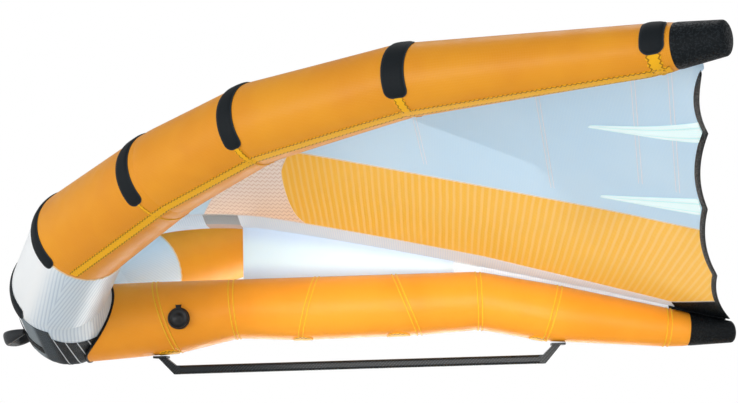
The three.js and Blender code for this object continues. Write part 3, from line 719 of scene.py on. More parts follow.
def nose_patch_cloth():
    """Black patch under the nose: fine weave with thin slanted white lines."""
    g = Graph("nose_patch_cloth", 0.5, specular=0.15)
    u, v, angle = g.cloth()
    size = g.absolute(u)
    slant = g.plus(angle, g.times(size, 0.17))
    white_lines = g.lines(slant, 0.215, 0.07)
    white_lines = g.times(white_lines, g.span(angle, radians(260), radians(264)))
    threads = g.weave(g.plus(u, v), g.minus(u, v), 5 * MM, 0.2)
    color = g.mix(g.times(threads, 0.35), "0D1216", "37424B")
    smooth_part = g.span(angle, radians(266), radians(256))
    color = g.mix(smooth_part, color, "39434A")
    pale_part = g.span(angle, radians(247), radians(240))
    color = g.mix(g.times(pale_part, 0.5), color, "A9B7BF")
    g.set("Base Color", g.mix(g.times(white_lines, 0.8), color, "DDE6EC"))
    g.bump(g.plus(threads, white_lines), 0.3 * MM, 0.5)
    return g.material


def ripstop(name, base, thread, through, share, painted_glow, pitch=6 * MM, rib=None, rib_color=None):
    """Thin canopy cloth with a grid of thicker threads that lets some light through."""
    g = Graph(name, 0.55, specular=0.15)
    x, y, z = g.split(g.place())
    threads = g.weave(x, g.plus(y, g.times(z, 0.6)), pitch, 0.14)
    drift = g.noise(3.0, 2.0)
    color = g.mix(g.span(drift, 0.3, 0.75, 0.0, 0.5), base, thread)
    color = g.mix(g.times(threads, 0.35), color, thread)
    height = g.plus(g.times(threads, 0.5), g.noise(9.0, 2.0))
    if rib:
        waved = g.plus(x, g.times(g.minus(g.noise(8.0, 1.0), 0.5), 4 * MM))
        ribs = g.lines(waved, rib, 0.26)
        hatch = g.lines(g.plus(z, g.times(x, 0.6)), 5 * MM, 0.3)
        color = g.mix(g.times(hatch, 0.25), color, thread)
        color = g.mix(g.times(ribs, 0.85), color, rib_color)
        height = g.plus(height, ribs)
    g.set("Base Color", color)
    g.bump(height, 0.8 * MM, 0.4)
    # The last value is painted glow: an emission that stands in for daylight scattered through the cloth.
    g.shine_through(through, share, 0.0, painted_glow)
    return g.material


def window_cloth():
    """See-through scrim with a fine wavy moire."""
    g = Graph("window_scrim", 0.35, coat=0.2)
    x, _, z = g.split(g.place())
    wave = g.times(g.op("SINE", g.times(x, 480.0)), 1.5 * MM)
    tilt = g.plus(g.plus(z, wave), g.times(x, 0.1))
    rows = g.lines(tilt, 7 * MM, 0.2)
    fade = g.span(z, 0.41, 0.50)
    base = g.mix(fade, "FFE6CC", "F8F0EA")
    color = g.mix(g.times(rows, 0.5), base, "C9A892")
    g.set("Base Color", color)
    g.bump(rows, 0.4 * MM, 0.4)
    # The last value is painted glow: an emission that stands in for daylight scattered through the film.
    g.shine_through(color, 0.5, 0.12, 0.17)
    return g.material


def centre_cloth():
    """Lavender centre strip, with a darker scrim where it runs between the windows."""
    g = Graph("centre_strip_cloth", 0.45, coat=0.1)
    x, y, _ = g.split(g.place())
    threads = g.lines(x, 6.5 * MM, 0.3)
    color = g.mix(g.times(threads, 0.4), "F2F8FD", "DDE9F5")
    nose = g.span(x, -0.425, -0.423, 1.0, 0.0)
    color = g.mix(nose, color, g.mix(g.times(threads, 0.4), "DCE9F3", "BFD3E6"))
    scrim = g.times(g.minus(1.0, nose), g.span(x, -0.326, -0.322, 1.0, 0.0))
    side = g.absolute(y)
    brown = g.mix(g.span(side, 0.040, 0.044), "B89C8C", "8B9296")
    g.set("Base Color", g.mix(scrim, color, brown))
    g.bump(threads, 0.4 * MM, 0.4)
    shown = g.mix(scrim, color, brown)
    # The last value is painted glow, weaker on the scrim: an emission that stands in for daylight scattered
    # through the cloth.
    g.shine_through(shown, g.span(scrim, 0, 1, 0.45, 0.2), 0.0, g.span(scrim, 0, 1, 0.10, 0.02))
    return g.material


def web_cloth():
    """The pale sheet between strut and canopy, with painted shade along its edges at the strut and the
    canopy, so that it is lighter and cooler in its middle.
    """
    g = Graph("web_cloth", 0.5, coat=0.05)
    v = g.cloth()[1]
    # Painted shade: towards the strut and the canopy the sheet turns a darker blue-white, and only its
    # middle keeps the light cyan-white.
    middle = g.times(g.span(v, 0.1, 0.35), g.span(v, 0.95, 0.6))
    color = g.mix(middle, "E2EEFA", "EEFAFF")
    fade = g.span(g.noise(4.0, 2.0), 0.3, 0.7, 0.0, 0.3)
    g.set("Base Color", g.mix(fade, color, "DFF0FB"))
    x, _, z = g.split(g.place())
    g.bump(g.plus(g.times(g.weave(x, z, 6 * MM), 0.4), g.noise(7.0, 2.0)), 0.6 * MM, 0.4)
    # The last value is painted glow: an emission that stands in for daylight scattered through the sheet.
    g.shine_through(color, 0.5, 0.0, 0.08)
    return g.material


def stitched_tape(name, base, thread, pitch=5 * MM):
    """Narrow sewn tape: a zigzag of thread over a woven ground."""
    g = Graph(name, 0.5, specular=0.12)
    u, v, _ = g.cloth()
    zig = g.op("PINGPONG", u, pitch)
    row = g.plus(0.30, g.times(g.op("DIVIDE", zig, pitch), 0.14))
    path = g.absolute(g.minus(g.absolute(v), row))
    stitch = g.span(path, 0.08, 0.03)
    ground = g.mix(g.times(g.lines(u, 1.6 * MM, 0.3), 0.25), base, thread)
    g.set("Base Color", g.mix(g.times(stitch, 0.85), ground, thread))
    g.bump(stitch, 0.5 * MM, 0.7)
    return g.material


def pocket_cloth():
    """Batten pocket: pale mint cloth with hatching and two rows of zigzag stitches."""
    g = Graph("batten_pocket_cloth", 0.5)
    u, v, _ = g.cloth()
    hatch = g.weave(g.plus(u, g.times(v, 0.02)), g.times(v, 0.02), 4 * MM, 0.25)
    color = g.mix(g.times(hatch, 0.5), "F2FFFF", "CDEBEF")
    zig = g.times(g.op("PINGPONG", u, 4 * MM), 16.0)
    rows = g.absolute(g.minus(g.absolute(v), g.plus(zig, 0.48)))
    stitch = g.span(rows, 0.06, 0.02)
    g.set("Base Color", g.mix(g.times(stitch, 0.8), color, "8FB9BE"))
    g.bump(g.plus(hatch, stitch), 0.4 * MM, 0.5)
    # The last value is painted glow: an emission that stands in for daylight scattered through the pocket.
    g.shine_through("EEFFFF", 0.25, 0.0, 0.22)
    return g.material


def carbon_weave():
    """Satin carbon fibre in a two by two twill."""
    g = Graph("carbon_twill", 0.36, specular=0.2, coat=0.12)
    x, y, z = g.split(g.place())
    side = g.plus(y, z)
    pitch = 9 * MM
    over = g.lines(g.plus(x, side), pitch, 0.5)
    under = g.lines(g.minus(x, side), pitch, 0.5)
    twill = g.times(over, g.minus(1.0, under))
    color = g.mix(twill, "07090B", "3E484F")
    g.set("Base Color", g.mix(g.span(g.noise(60.0), 0.4, 0.8, 0.0, 0.4), color, "12181C"))
    g.set("Roughness", g.span(twill, 0, 1, 0.42, 0.24))
    g.bump(twill, 0.2 * MM, 0.5)
    return g.material


def moulded_plastic(name, color, roughness):
    g = Graph(name, roughness, coat=0.05)
    grain = g.noise(1500.0, 2.0)
    wear = g.span(g.noise(40.0, 4.0), 0.45, 0.8, 0.0, 0.25)
    g.set("Base Color", g.mix(wear, color, "3A4046"))
    g.set("Roughness", g.span(grain, 0.3, 0.7, roughness - 0.06, roughness + 0.1))
    g.bump(grain, 0.08 * MM, 0.6)
    return g.material


def webbing_cloth():
    """Dense black webbing in a ribbed weave."""
    g = Graph("webbing", 0.55, sheen=0.3)
    u, v, _ = g.cloth()
    ribs = g.lines(u, 2.6 * MM, 0.4)
    cross = g.lines(v, 3.0 * MM, 0.3)
    pattern = g.op("MAXIMUM", ribs, cross)
    g.set("Base Color", g.mix(g.times(pattern, 0.6), "0E1114", "2B3238"))
    g.bump(g.plus(pattern, g.noise(500.0, 2.0)), 0.5 * MM, 0.7)
    return g.material


def bladder_skin():
    g = Graph("bladder_skin", 0.25, coat=0.3)
    fold = g.noise(25.0, 4.0)
    g.set("Base Color", g.mix(fold, "E8EEF0", "CCD6DA"))
    g.bump(fold, 1.5 * MM, 0.4)
    g.shine_through("E0E8EA", 0.4, 0.2)
    return g.material


def drawn_wire():
    g = Graph("spring_wire", 0.28, metallic=1.0)
    scratch = g.noise(900.0, 3.0)
    g.set("Base Color", g.mix(scratch, "C9CDD0", "8F979C"))
    g.set("Roughness", g.span(scratch, 0.3, 0.7, 0.2, 0.38))
    g.bump(scratch, 0.05 * MM, 0.4)
    return g.material


# Each look: the name of its slot, and the material drawn here.
LOOKS = {
    "orange": ("orange_cloth", coated_cloth("orange_tube_cloth", "EC9E1E", "E49218")),
    "strut": ("orange_cloth", coated_cloth("orange_strut_cloth", "FBA428", "F29A1E")),
    "white": ("white_cloth", striped_cloth()),
    "patch": ("black_patch", patch_cloth()),
    "nose": ("black_cloth", nose_patch_cloth()),
    "black": ("black_cloth", coarse_cloth("black_cloth", "0E1215", "384047", 1.8 * MM, 0.2)),
    "cap": ("black_cloth", coarse_cloth("tip_cloth", "0F1519", "39434B", 2.2 * MM, 0.3, 0.5)),
    "pale": ("pale_ripstop", ripstop("pale_ripstop", "CBE3F3", "DFEFF8", "DDF2FF", 0.4, 0.14)),
    "band": (
        "band_cloth",
        ripstop("band_ripstop", "FBCC48", "FFDD7C", "FFDE70", 0.45, 0.11, 6 * MM, 17 * MM, "FFE2A0"),
    ),
    "window": ("window_film", window_cloth()),
    "centre": ("centre_film", centre_cloth()),
    "web": ("centre_film", web_cloth()),
    "yellow": ("band_cloth", stitched_tape("yellow_tape", "FFC024", "94621A")),
    "piping": ("band_cloth", stitched_tape("yellow_piping", "FFCB38", "E09A28", 4 * MM)),
    "cream": ("orange_cloth", stitched_tape("cream_thread", "F6DDB0", "E9C489", 3 * MM)),
    "thread": ("pale_ripstop", stitched_tape("pale_thread", "FFFFFF", "D5E4F0", 3 * MM)),
    "pocket": ("pale_ripstop", pocket_cloth()),
    "carbon": ("carbon", carbon_weave()),
    "plastic": ("black_plastic", moulded_plastic("black_plastic", "101316", 0.38)),
    "webbing": ("webbing", webbing_cloth()),
    "bladder": ("bladder_film", bladder_skin()),
    "steel": ("spring_steel", drawn_wire()),
}
# Angles of the tubes' mesh columns. They start near the top, where the cloth's pattern breaks.
TURN = radians(100) + np.linspace(0, 2 * pi, TUBE_SIDES, endpoint=False)
SIDES = (("_left", -1), ("_right", 1))


# ------------------------------------------------------------------ leading edge
def places_along(first, last, step=12 * MM):
    """Places from first to last, evenly spaced along the tube."""
    low, high = arc_of(first), arc_of(last)
    return place_of(np.linspace(low, high, int(round(abs(high - low) / step)) + 2))


def round_cloth(along, angle, radius):
    """Cloth coordinates on a tube: length along it, length round it, and the angle."""
    return stacked(along, angle * radius, angle)


def radius_at(place):
    return np.interp(np.abs(place), range(TIP + 1), LE_RADII)


def tube_panel(name, first, last):
    places = places_along(first, last)[:, None]
    points = le_cloth(places, TURN[None], -PANEL_WALL / 2)
    cloth = round_cloth(arc_of(places), TURN[None], radius_at(places))
    return slab(name, points, PANEL_WALL, cloth, wrap=True)


def tip_cap(name, side):
    places = places_along(TIP_CAP_START * side, TIP * side, 8 * MM)[:, None]
    tube = le_cloth(places, TURN[None], -PANEL_WALL / 2)
    centre = LE_CENTRES[TIP] * (1, side, 1)
    outward = unit((LE_CENTRES[TIP] - LE_CENTRES[TIP - 1]) * (1, side, 1))
    lean = np.linspace(0, pi / 2, 9)[1:-1, None, None]
    dome = centre + (tube[-1] - centre) * np.cos(lean) + outward * TIP_DOME * np.sin(lean)
    points = np.concatenate([tube, dome])
    along = np.concatenate([arc_of(places[:, 0]), arc_of(TIP) + TIP_DOME * np.sin(lean[:, 0, 0])])
    cloth = round_cloth(along[:, None], TURN[None], LE_RADII[TIP])
    return slab(name, points, PANEL_WALL, cloth, wrap=True, pole=True)


def joint_patch(name, bend, side):
    """A padded strap with round ends across the front of a bend, thin at its sewn rim."""
    start, end = radians(PATCH_START), radians(PATCH_ENDS[bend - 1])
    radius = LE_RADII[bend]
    length = (end - start) * radius
    half, corner = PATCH_WIDTHS[bend] / 2, PATCH_ROUNDING
    run = np.sin(np.linspace(-pi / 2, pi / 2, 61)) * length / 2
    past = np.maximum(np.abs(run) - (length / 2 - corner), 0)
    wide = half - corner + np.sqrt(np.maximum(corner**2 - past**2, 0))
    across = np.sin(np.linspace(-pi / 2, pi / 2, 19))[None] * wide[:, None]
    beyond = np.maximum(np.abs(across) - (half - corner), 0)
    edge = np.clip(np.hypot(past[:, None], beyond) / corner, 0, 1)
    inner = np.clip(edge / 0.8, 0, 1)
    thick = 1.2 * MM + (PATCH_THICK - 1.2 * MM) * np.sqrt(1 - inner**4)
    place = place_of(side * (arc_of(bend) + PATCH_SHIFT[bend] + across))
    angle = (start + end) / 2 + run[:, None] / radius
    points = le_skin(place, angle, 0.4 * MM + thick / 2)
    cloth = np.stack([run[:, None] + 0 * across, across, edge], -1)
    return slab(name, points, thick[..., None], cloth)


def tape_angle(place):
    table = np.radians([a for _, a in TAPE_ANGLES])
    return np.interp(np.abs(place), [p for p, _ in TAPE_ANGLES], table)


def tape_strip(name, place, angle, across_place, across_angle, wide):
    """Tape on the tube along given places and angles, wide being its half-width at each."""
    t = np.linspace(-1, 1, 5)[None] * wide[:, None]
    places = place_of(arc_of(place)[:, None] + t * across_place)
    points = le_cloth(places, angle[:, None] + t * across_angle)
    run = arc_lengths(points[:, 2])
    cloth = stacked(run[:, None], t / wide.max() / 2)
    n = grid_normals(points)
    centre = np.stack([np.interp(np.abs(place), range(TIP + 1), LE_CENTRES[:, i]) for i in range(3)], -1)
    centre[:, 1] *= np.sign(place)
    outward = np.sum(n[:, 2] * (points[:, 2] - centre), -1)
    return slab(name, points, 0.9 * MM, cloth, normals=n * np.sign(outward)[:, None, None], lift=0.7 * MM)


def edge_tape(name, side):
    """The yellow tape under the tube, its branches up to each patch and the seams below it."""
    made = []
    places = places_along(2.03 * side, 6.25 * side, 5 * MM)
    run = np.abs(arc_of(places))
    saw = np.abs((run / (13 * MM)) % 2 - 1)
    half = TAPE_WIDTH / 2 + (saw - 0.5) * 2.5 * MM
    made.append(tape_strip(name, places, tape_angle(places), 0, 1 / radius_at(places)[:, None], half))
    for bend, width in ((3, 8), (4, 14), (5, 22), (6, 26)):
        first = radians(PATCH_ENDS[bend - 1] - 2)
        angle = np.linspace(first, tape_angle(bend), 30)
        wave = np.sin(angle * LE_RADII[bend] / (14 * MM) * 2 * pi) * 1.5 * MM
        half = width / 2 * MM + wave * min(width / 14, 1)
        place = place_of(np.full(30, side * (arc_of(bend) + PATCH_SHIFT[bend])))
        made.append(tape_strip(name, place, angle, 1, 0, half))
    for bend in (3, 4, 5, 6):
        angle = np.linspace(tape_angle(bend), radians(372), 60)
        place = place_of(np.full(60, side * (arc_of(bend) + PATCH_SHIFT[bend])))
        made.append(tape_strip(name, place, angle, 1, 0, np.full(60, 1.7 * MM)))
    return joined(name, made)


def border_piping(name, side):
    angle = np.radians(np.linspace(*PIPING_ARC, 90))
    place = place_of(np.full(90, side * arc_of(2)))
    return tape_strip(name, place, angle, 1, 0, np.full(90, 2.6 * MM))


for suffix, side in SIDES:
    for panel, first, last, look in (
        ("shoulder_panel", 1, 2, "white"),
        ("inner_tube_panel", 2, 3, "orange"),
        ("middle_tube_panel", 3, 4, "orange"),
        ("outer_tube_panel", 4, 5, "orange"),
        ("tip_tube_panel", 5, TIP_CAP_START, "orange"),
    ):
        made = tube_panel(panel + suffix + "_cloth", first * side, last * side)
        dress(made, look, panel + suffix)
    dress(tip_cap("tip_cap" + suffix + "_cloth", side), "cap", "tip_cap" + suffix)
    for bend in range(1, 7):
        node = f"joint_patch_{bend}{suffix}"
        dress(joint_patch(node + "_pad", bend, side), "patch", node)
    dress(edge_tape("edge_tape" + suffix, side), "yellow")
    dress(border_piping("border_piping" + suffix, side), "cream")
dress(tube_panel("nose_panel_cloth", -1, 1), "white", "nose_panel")


def bladder(name, rings, node):
    dress(sweep(name, rings, np.zeros(rings.shape[:2] + (1,))), "bladder", node)


le_inside = le_skin(places_along(-6.9, 6.9, 20 * MM)[:, None], TURN[None, ::2], -BLADDER_INSET)
bladder("leading_edge_bladder_skin", le_inside, "leading_edge_bladder")


# ------------------------------------------------------------------ strut
def strut_places(first, last, step=12 * MM):
    low, high = strut_x(first), strut_x(last)
    return strut_place(np.linspace(low, high, int(round((high - low) / step)) + 1))


def strut_tube(name, places, pole=False):
    """A closed shell of the strut. places may differ from angle to angle."""
    points = strut_cloth(places, TURN[None], -PANEL_WALL / 2)
    cloth = round_cloth(strut_x(places), TURN[None], STRUT_MEAN_RADIUS)
    return slab(name, points, PANEL_WALL, cloth, wrap=True, pole=pole)


def strut_tail_cap(name):
    tube = strut_cloth(strut_places(STRUT_CAP, STRUT_END, 8 * MM)[:, None], TURN[None], -PANEL_WALL / 2)
    x, z = STRUT_RINGS[-1, 0], STRUT_RINGS[-1, 1]
    centre = np.array([tube[-1, :, 0].mean(), 0, z])
    lean = np.linspace(0, pi / 2, 9)[1:-1, None, None]
    reach = (x + STRUT_DOME - centre[0]) * np.array([1, 0, 0])
    dome = centre + (tube[-1] - centre) * np.cos(lean) + reach * np.sin(lean)
    points = np.concatenate([tube, dome])
    cloth = round_cloth(points[..., 0].mean(1)[:, None], TURN[None], 35 * MM)
    return slab(name, points, PANEL_WALL, cloth, wrap=True, pole=True)


def front_places():
    mouth = strut_mouth(TURN, 2.5 * MM)
    share = np.linspace(0, 1, 26)[:, None]
    return mouth[None] * (1 - share) + share


def ring_normals(angle):
    return np.stack([0 * angle, np.cos(angle), np.sin(angle)], -1)


def strut_ring(name, x, width, height):
    loop = np.linspace(0, 2 * pi, 120, endpoint=False)
    points = strut_cloth(strut_place(x), loop, 0.3 * MM)
    return strand(name, points, ring_normals(loop), width, height, closed=True)


def strut_piping(name):
    made = []
    for k in range(1, STRUT_CAP):
        for side in (-1, 1):
            made.append(strut_ring(name, STRUT_RINGS[k, 0] + side * 6 * MM, 4.2 * MM, 3.0 * MM))
    return joined(name, made)


def strut_tab(name, x):
    """A half-round reinforcement under the strut."""
    u = np.sin(np.linspace(-pi / 2, pi / 2, 21))
    v = np.sin(np.linspace(-pi / 2, pi / 2, 11))
    wide = TAB_HALF_WIDE * np.sqrt(np.maximum(1 - u**2, 0.004))
    across = v[None] * wide[:, None]
    place = strut_place(x + u * TAB_HALF_LONG)[:, None]
    angle = radians(262) + across / STRUT_MEAN_RADIUS
    points = strut_cloth(place, angle, 1.0 * MM)
    cloth = stacked(u[:, None] * TAB_HALF_LONG, v[None] / 2)
    n = ring_normals(angle)
    return slab(name, points, 1.6 * MM, cloth, normals=n)


for node, first, last in (
    ("strut_valve_panel", 1, 2),
    ("strut_middle_panel", 2, 4),
    ("strut_rear_panel", 4, 5),
    ("strut_bend_panel", 5, 6),
    ("strut_tail_panel", 6, 8),
):
    made = strut_tube(node + "_cloth", strut_places(first, last)[:, None])
    dress(made, "strut", node)
made = strut_tube("strut_front_panel_cloth", front_places())
dress(made, "strut", "strut_front_panel")
dress(strut_tail_cap("strut_tail_cap_cloth"), "black", "strut_tail_cap")
dress(strut_piping("strut_piping"), "piping")
tabs = [strut_tab("strut_tabs", x) for x in TAB_PLACES]
dress(joined("strut_tabs", tabs), "yellow")
share = np.linspace(0, 1, 90)[:, None]
inside_mouth = strut_mouth(TURN[::2], 8 * MM)
inside_places = inside_mouth * (1 - share) + (STRUT_END - 0.1) * share
strut_inside = strut_skin(inside_places, TURN[None, ::2], -BLADDER_INSET)
bladder("strut_bladder_skin", strut_inside, "strut_bladder")

mouth_turn = np.linspace(0, 2 * pi, 160, endpoint=False)
mouth_line = strut_skin(strut_mouth(mouth_turn, 1.5 * MM), mouth_turn, 0.5 * MM)
made = strand("strut_mouth_piping", mouth_line, ring_normals(mouth_turn), 7 * MM, 6 * MM, closed=True)
dress(made, "black")


# ------------------------------------------------------------------ nose patch and handle
def nose_patch(name):
    """The black patch under the nose, narrowing in steps towards the strut."""
    table = [
        (222, 0.95), (248, 0.92), (261, 0.92), (262, 0.74),
        (278, 0.66), (313, 0.52), (336, 0.32), (344, 0.26),
    ]
    angle = np.radians(np.unique(np.concatenate([np.arange(222, 344, 2.0), [261, 262, 344]])))
    half = np.interp(angle, np.radians([a for a, _ in table]), [w for _, w in table])
    place = half[:, None] * np.linspace(-1, 1, 41)[None]
    points = le_cloth(place, angle[:, None], 1.3 * MM)
    cloth = stacked(place, angle[:, None] * 0.13, angle[:, None])
    return slab(name, points, 1.0 * MM, cloth)


def skin_pad(name, places, angles, offset, thick):
    place = np.linspace(*places, 25)[None]
    angle = np.radians(np.linspace(*angles, 25))[:, None]
    points = le_cloth(place, angle, offset + thick / 2)
    return slab(name, points, thick, round_cloth(arc_of(place), angle, 0.13))


HANDLE_ANGLE = radians(197)
HANDLE_OUT = np.array([cos(HANDLE_ANGLE), 0, sin(HANDLE_ANGLE)])
HANDLE_WIDE = np.array([-sin(HANDLE_ANGLE), 0, cos(HANDLE_ANGLE)])
HANDLE_FOOT = LE_RADII[0] + 8 * MM
# Half of the loop: distance from its middle, reach out from the foot, and half its width.
HANDLE_PATH = MM * np.array([
    (61, -20, 8),
    (60, 4, 15),
    (58, 22, 18),
    (50, 36, 19),
    (34, 43, 19),
    (0, 44, 19),
])
HANDLE_HALF_THICK = 8 * MM
HANDLE_FILL = 1.2 * MM
FILL_PRESSURE = 4
FILL_FRAMES = 20


def handle_base(name):
    parts = [skin_pad(name, (-0.44, 0.44), (182, 222), 0.6 * MM, 1.6 * MM)]
    for a, b in ((0.24, 0.40), (-0.40, -0.24)):
        parts.append(skin_pad(name, (a, b), (221, 243), 2.2 * MM, 1.4 * MM))
    return joined(name, parts)


def handle_loop(name):
    """The padded grab loop, drawn as a plain tube of cloth before it is filled."""
    knots = np.concatenate([HANDLE_PATH, HANDLE_PATH[-2::-1] * (-1, 1, 1)])
    length = arc_lengths(knots[:, :2])
    even = np.linspace(0, length[-1], 90)
    path = np.stack([np.interp(even, length, knots[:, i]) for i in range(3)], -1)
    for _ in range(40):
        path[1:-1] = (path[:-2] + path[1:-1] * 2 + path[2:]) / 4
    middle = LE_CENTRES[0] + HANDLE_OUT * (HANDLE_FOOT + path[:, 1:2]) + path[:, :1] * np.array([0, 1, 0])
    along = unit(np.gradient(middle, axis=0))
    normal = unit(np.cross(along, HANDLE_WIDE))
    turn = np.linspace(0, 2 * pi, 36, endpoint=False)
    c, s = np.cos(turn), np.sin(turn)
    across = np.sign(c) * np.abs(c) ** 0.75
    deep = np.sign(s) * np.abs(s) ** 0.9
    rings = (
        middle[:, None]
        + HANDLE_WIDE * across[None, :, None] * path[:, 2][:, None, None]
        + normal[:, None] * deep[None, :, None] * HANDLE_HALF_THICK
    )
    cloth = stacked(even[:, None], across[None] * 22 * MM)
    return sweep(name, rings, cloth)


def filled(obj, most):
    """Inflates the cloth with a short simulation and keeps each point near its start."""
    start = np.array([v.co for v in obj.data.vertices])
    cloth = obj.modifiers.new("fill", "CLOTH")
    cloth.settings.use_pressure = True
    cloth.settings.uniform_pressure_force = FILL_PRESSURE
    cloth.settings.effector_weights.gravity = 0
    cloth.settings.quality = 6
    bpy.context.scene.frame_start, bpy.context.scene.frame_end = 1, FILL_FRAMES
    cloth.point_cache.frame_start, cloth.point_cache.frame_end = 1, FILL_FRAMES
    for step in range(1, FILL_FRAMES + 1):
        bpy.context.scene.frame_set(step)
    moved = obj.evaluated_get(bpy.context.evaluated_depsgraph_get()).data
    now = np.array([v.co for v in moved.vertices])
    shift = now - start
    size = np.linalg.norm(shift, axis=1, keepdims=True)
    shift *= np.minimum(1, most / np.maximum(size, 1e-9))
    obj.modifiers.remove(cloth)
    bpy.context.scene.frame_set(1)
    obj.data.vertices.foreach_set("co", (start + shift).astype(np.float32).ravel())
    obj.data.update()
    return obj


dress(nose_patch("nose_patch_cloth"), "nose", "nose_patch")
dress(handle_base("handle_base_cloth"), "black", "handle_base")
loop = handle_loop("grab_handle_loop")
filled(loop, HANDLE_FILL)
dress(loop, "webbing", "grab_handle", body="grab_handle")


# ------------------------------------------------------------------ canopy
def canopy_sheet(name, row_range, column_range, per_row, keep=None):
    """Part of the canopy between two rows and two columns; keep picks cells by row and column."""
    rows = np.linspace(*row_range, int(round(abs(row_range[1] - row_range[0]) * per_row)) + 1)
    columns = np.linspace(*column_range, (column_range[1] - column_range[0]) * 10 + 1)
    row, column = np.meshgrid(rows, columns, indexing="ij")
    place, chord = panel_grid(row, column)
    points = canopy(place, chord)
    mask = None
    if keep:
        mask = keep((row[:-1, :-1] + row[1:, 1:]) / 2, (column[:-1, :-1] + column[1:, 1:]) / 2)
    cloth = np.stack([row, column], -1)
    return slab(name, points, CLOTH, cloth, mask=mask, normals=canopy_normal(place, chord))


def canopy_above(x, y):
    """Place and chord of the canopy point straight above a point of the plan."""
    places, chords = np.linspace(0, 6.95, 300), np.linspace(0, 1, 200)
    place, chord = 4.0, 0.7
    for _ in range(10):
        place = np.interp(y, canopy(places, chord)[:, 1], places)
        chord = np.interp(x, canopy(np.full(200, place), chords)[:, 0], chords)
    return place, chord


def straight_seam(ends):
    """Places and chords of a seam that runs straight in plan between two canopy points."""
    first, last = (canopy(np.array([place]), chord)[0, :2] for place, chord in ends)
    plan = [canopy_above(*(first + (last - first) * t)) for t in np.linspace(0, 1, 28)]
    return np.array(plan).T


def canopy_strand(name, place, chord, width, shift=0.0):
    """A raised seam over given places and chords, moved sideways by shift."""
    points = canopy(place, chord)
    normal = canopy_normal(place, chord)
    across = unit(np.cross(normal, np.gradient(points, axis=0)))
    return strand(name, points + across * shift, normal, width, 1.7 * MM)


def grid_strand(name, rows, columns, width, side, shift=0.0):
    """A seam along the sewing plan's own lines."""
    place, chord = panel_grid(rows * side, columns)
    return canopy_strand(name, place, chord, width, shift)


def batten_pocket(name, ends, half_wide, side):
    """A sleeve under the cloth, pointed at its inner end, with a batten's crown in it."""
    t = np.linspace(0, 1, 40)
    place = ends[0][0] + (ends[1][0] - ends[0][0]) * t
    chord = ends[0][1] + (ends[1][1] - ends[0][1]) * t
    nearby = canopy(place + 0.01, chord) - canopy(place - 0.01, chord)
    length_per_place = np.linalg.norm(nearby, axis=-1) / 0.02
    half = half_wide * np.interp(t, [0, 1], [0.12, 1]) / length_per_place
    v = np.linspace(-1, 1, 13)
    places = side * (place[:, None] + half[:, None] * v)
    chords = np.broadcast_to(chord[:, None], places.shape)
    normal = canopy_normal(places, chords)
    crown = 3.5 * MM * (1 - v**2)[None] * np.interp(t, [0, 0.2, 1], [0.1, 1, 1])[:, None]
    sink = CLOTH / 2 + 0.5 * MM + crown / 2
    points = canopy(places, chords) - normal * sink[..., None]
    length = arc_lengths(canopy(place, chord))
    cloth = stacked(length[:, None], v[None])
    return slab(name, points, (0.8 * MM + crown)[..., None], cloth, normals=normal)


def edge_binding(name, side):
    """Black tape folded over the trailing edge."""
    rows = side * np.linspace(0.02, ROW_LAST, 150)
    place, chord = panel_grid(rows, np.full(150, float(COLUMN_LAST)))
    points = canopy(place, chord)
    back = unit(points - canopy(place, chord - 0.01))
    return strand(name, points + back * 2.5 * MM, canopy_normal(place, chord), 13 * MM, 3 * MM, 12)


def outer_cells(row, column):
    return (np.abs(row) > ROW_UPPER) | (column < COLUMN_DIAGONAL)


SEAMS = (
    ((3.6, 0.405), (2.75, 0.505)),
    ((4.675, 0.53), (3.025, 0.72)),
    ((5.5, 0.61), (3.8, 0.87)),
    ((5.825, 0.64), (3.925, 0.95)),
)
SEAM_LINES = [straight_seam(ends) for ends in SEAMS]
for suffix, side in SIDES:
    lower, upper, last = ROW_LOWER * side, ROW_UPPER * side, ROW_LAST * side
    for node, look, rows, columns, keep in (
        ("canopy_outer", "pale", (lower, last), (0, COLUMN_LAST), outer_cells),
        ("canopy_band", "band", (lower, upper), (COLUMN_BAND, COLUMN_LAST), None),
        ("canopy_window", "window", (lower, upper), (COLUMN_DIAGONAL, COLUMN_BAND), None),
    ):
        made = canopy_sheet(node + suffix + "_cloth", rows, columns, 8, keep)
        dress(made, look, node + suffix)
    seams = [
        canopy_strand("canopy_seams" + suffix, side * place, chord, 2.2 * MM, shift)
        for place, chord in SEAM_LINES
        for shift in (-4 * MM, 4 * MM)
    ]
    for row, first, last_column in ((ROW_LOWER, 0, 13), (ROW_UPPER, 3, 13)):
        columns = np.linspace(first, last_column, 120)
        seams += [
            grid_strand("canopy_seams" + suffix, np.full(120, float(row)), columns, 1.8 * MM, side, shift)
            for shift in (-3 * MM, 3 * MM)
        ]
    for column in (COLUMN_DIAGONAL, COLUMN_BAND):
        rows = np.linspace(ROW_LOWER, ROW_UPPER, 60)
        seams.append(grid_strand("canopy_seams" + suffix, rows, np.full(60, float(column)), 1.4 * MM, side))
    dress(joined("canopy_seams" + suffix, seams), "thread")
    for node, ends, half in (
        ("outer_batten", ((4.5, 0.705), (5.17, 0.995)), 46 * MM),
        ("inner_batten", ((3.2, 0.805), (3.77, 0.995)), 42 * MM),
    ):
        made = batten_pocket(node + suffix + "_pocket", ends, half, side)
        dress(made, "pocket", node + suffix)
    made = edge_binding("trailing_edge_binding" + suffix + "_tape", side)
    dress(made, "black", "trailing_edge_binding" + suffix)
for node, look, columns in (
    ("canopy_centre", "centre", (0, COLUMN_CORNER)),
    ("canopy_corner_patch", "black", (COLUMN_CORNER, COLUMN_LAST)),
):
    dress(canopy_sheet(node + "_cloth", (-ROW_LOWER, ROW_LOWER), columns, 4), look, node)


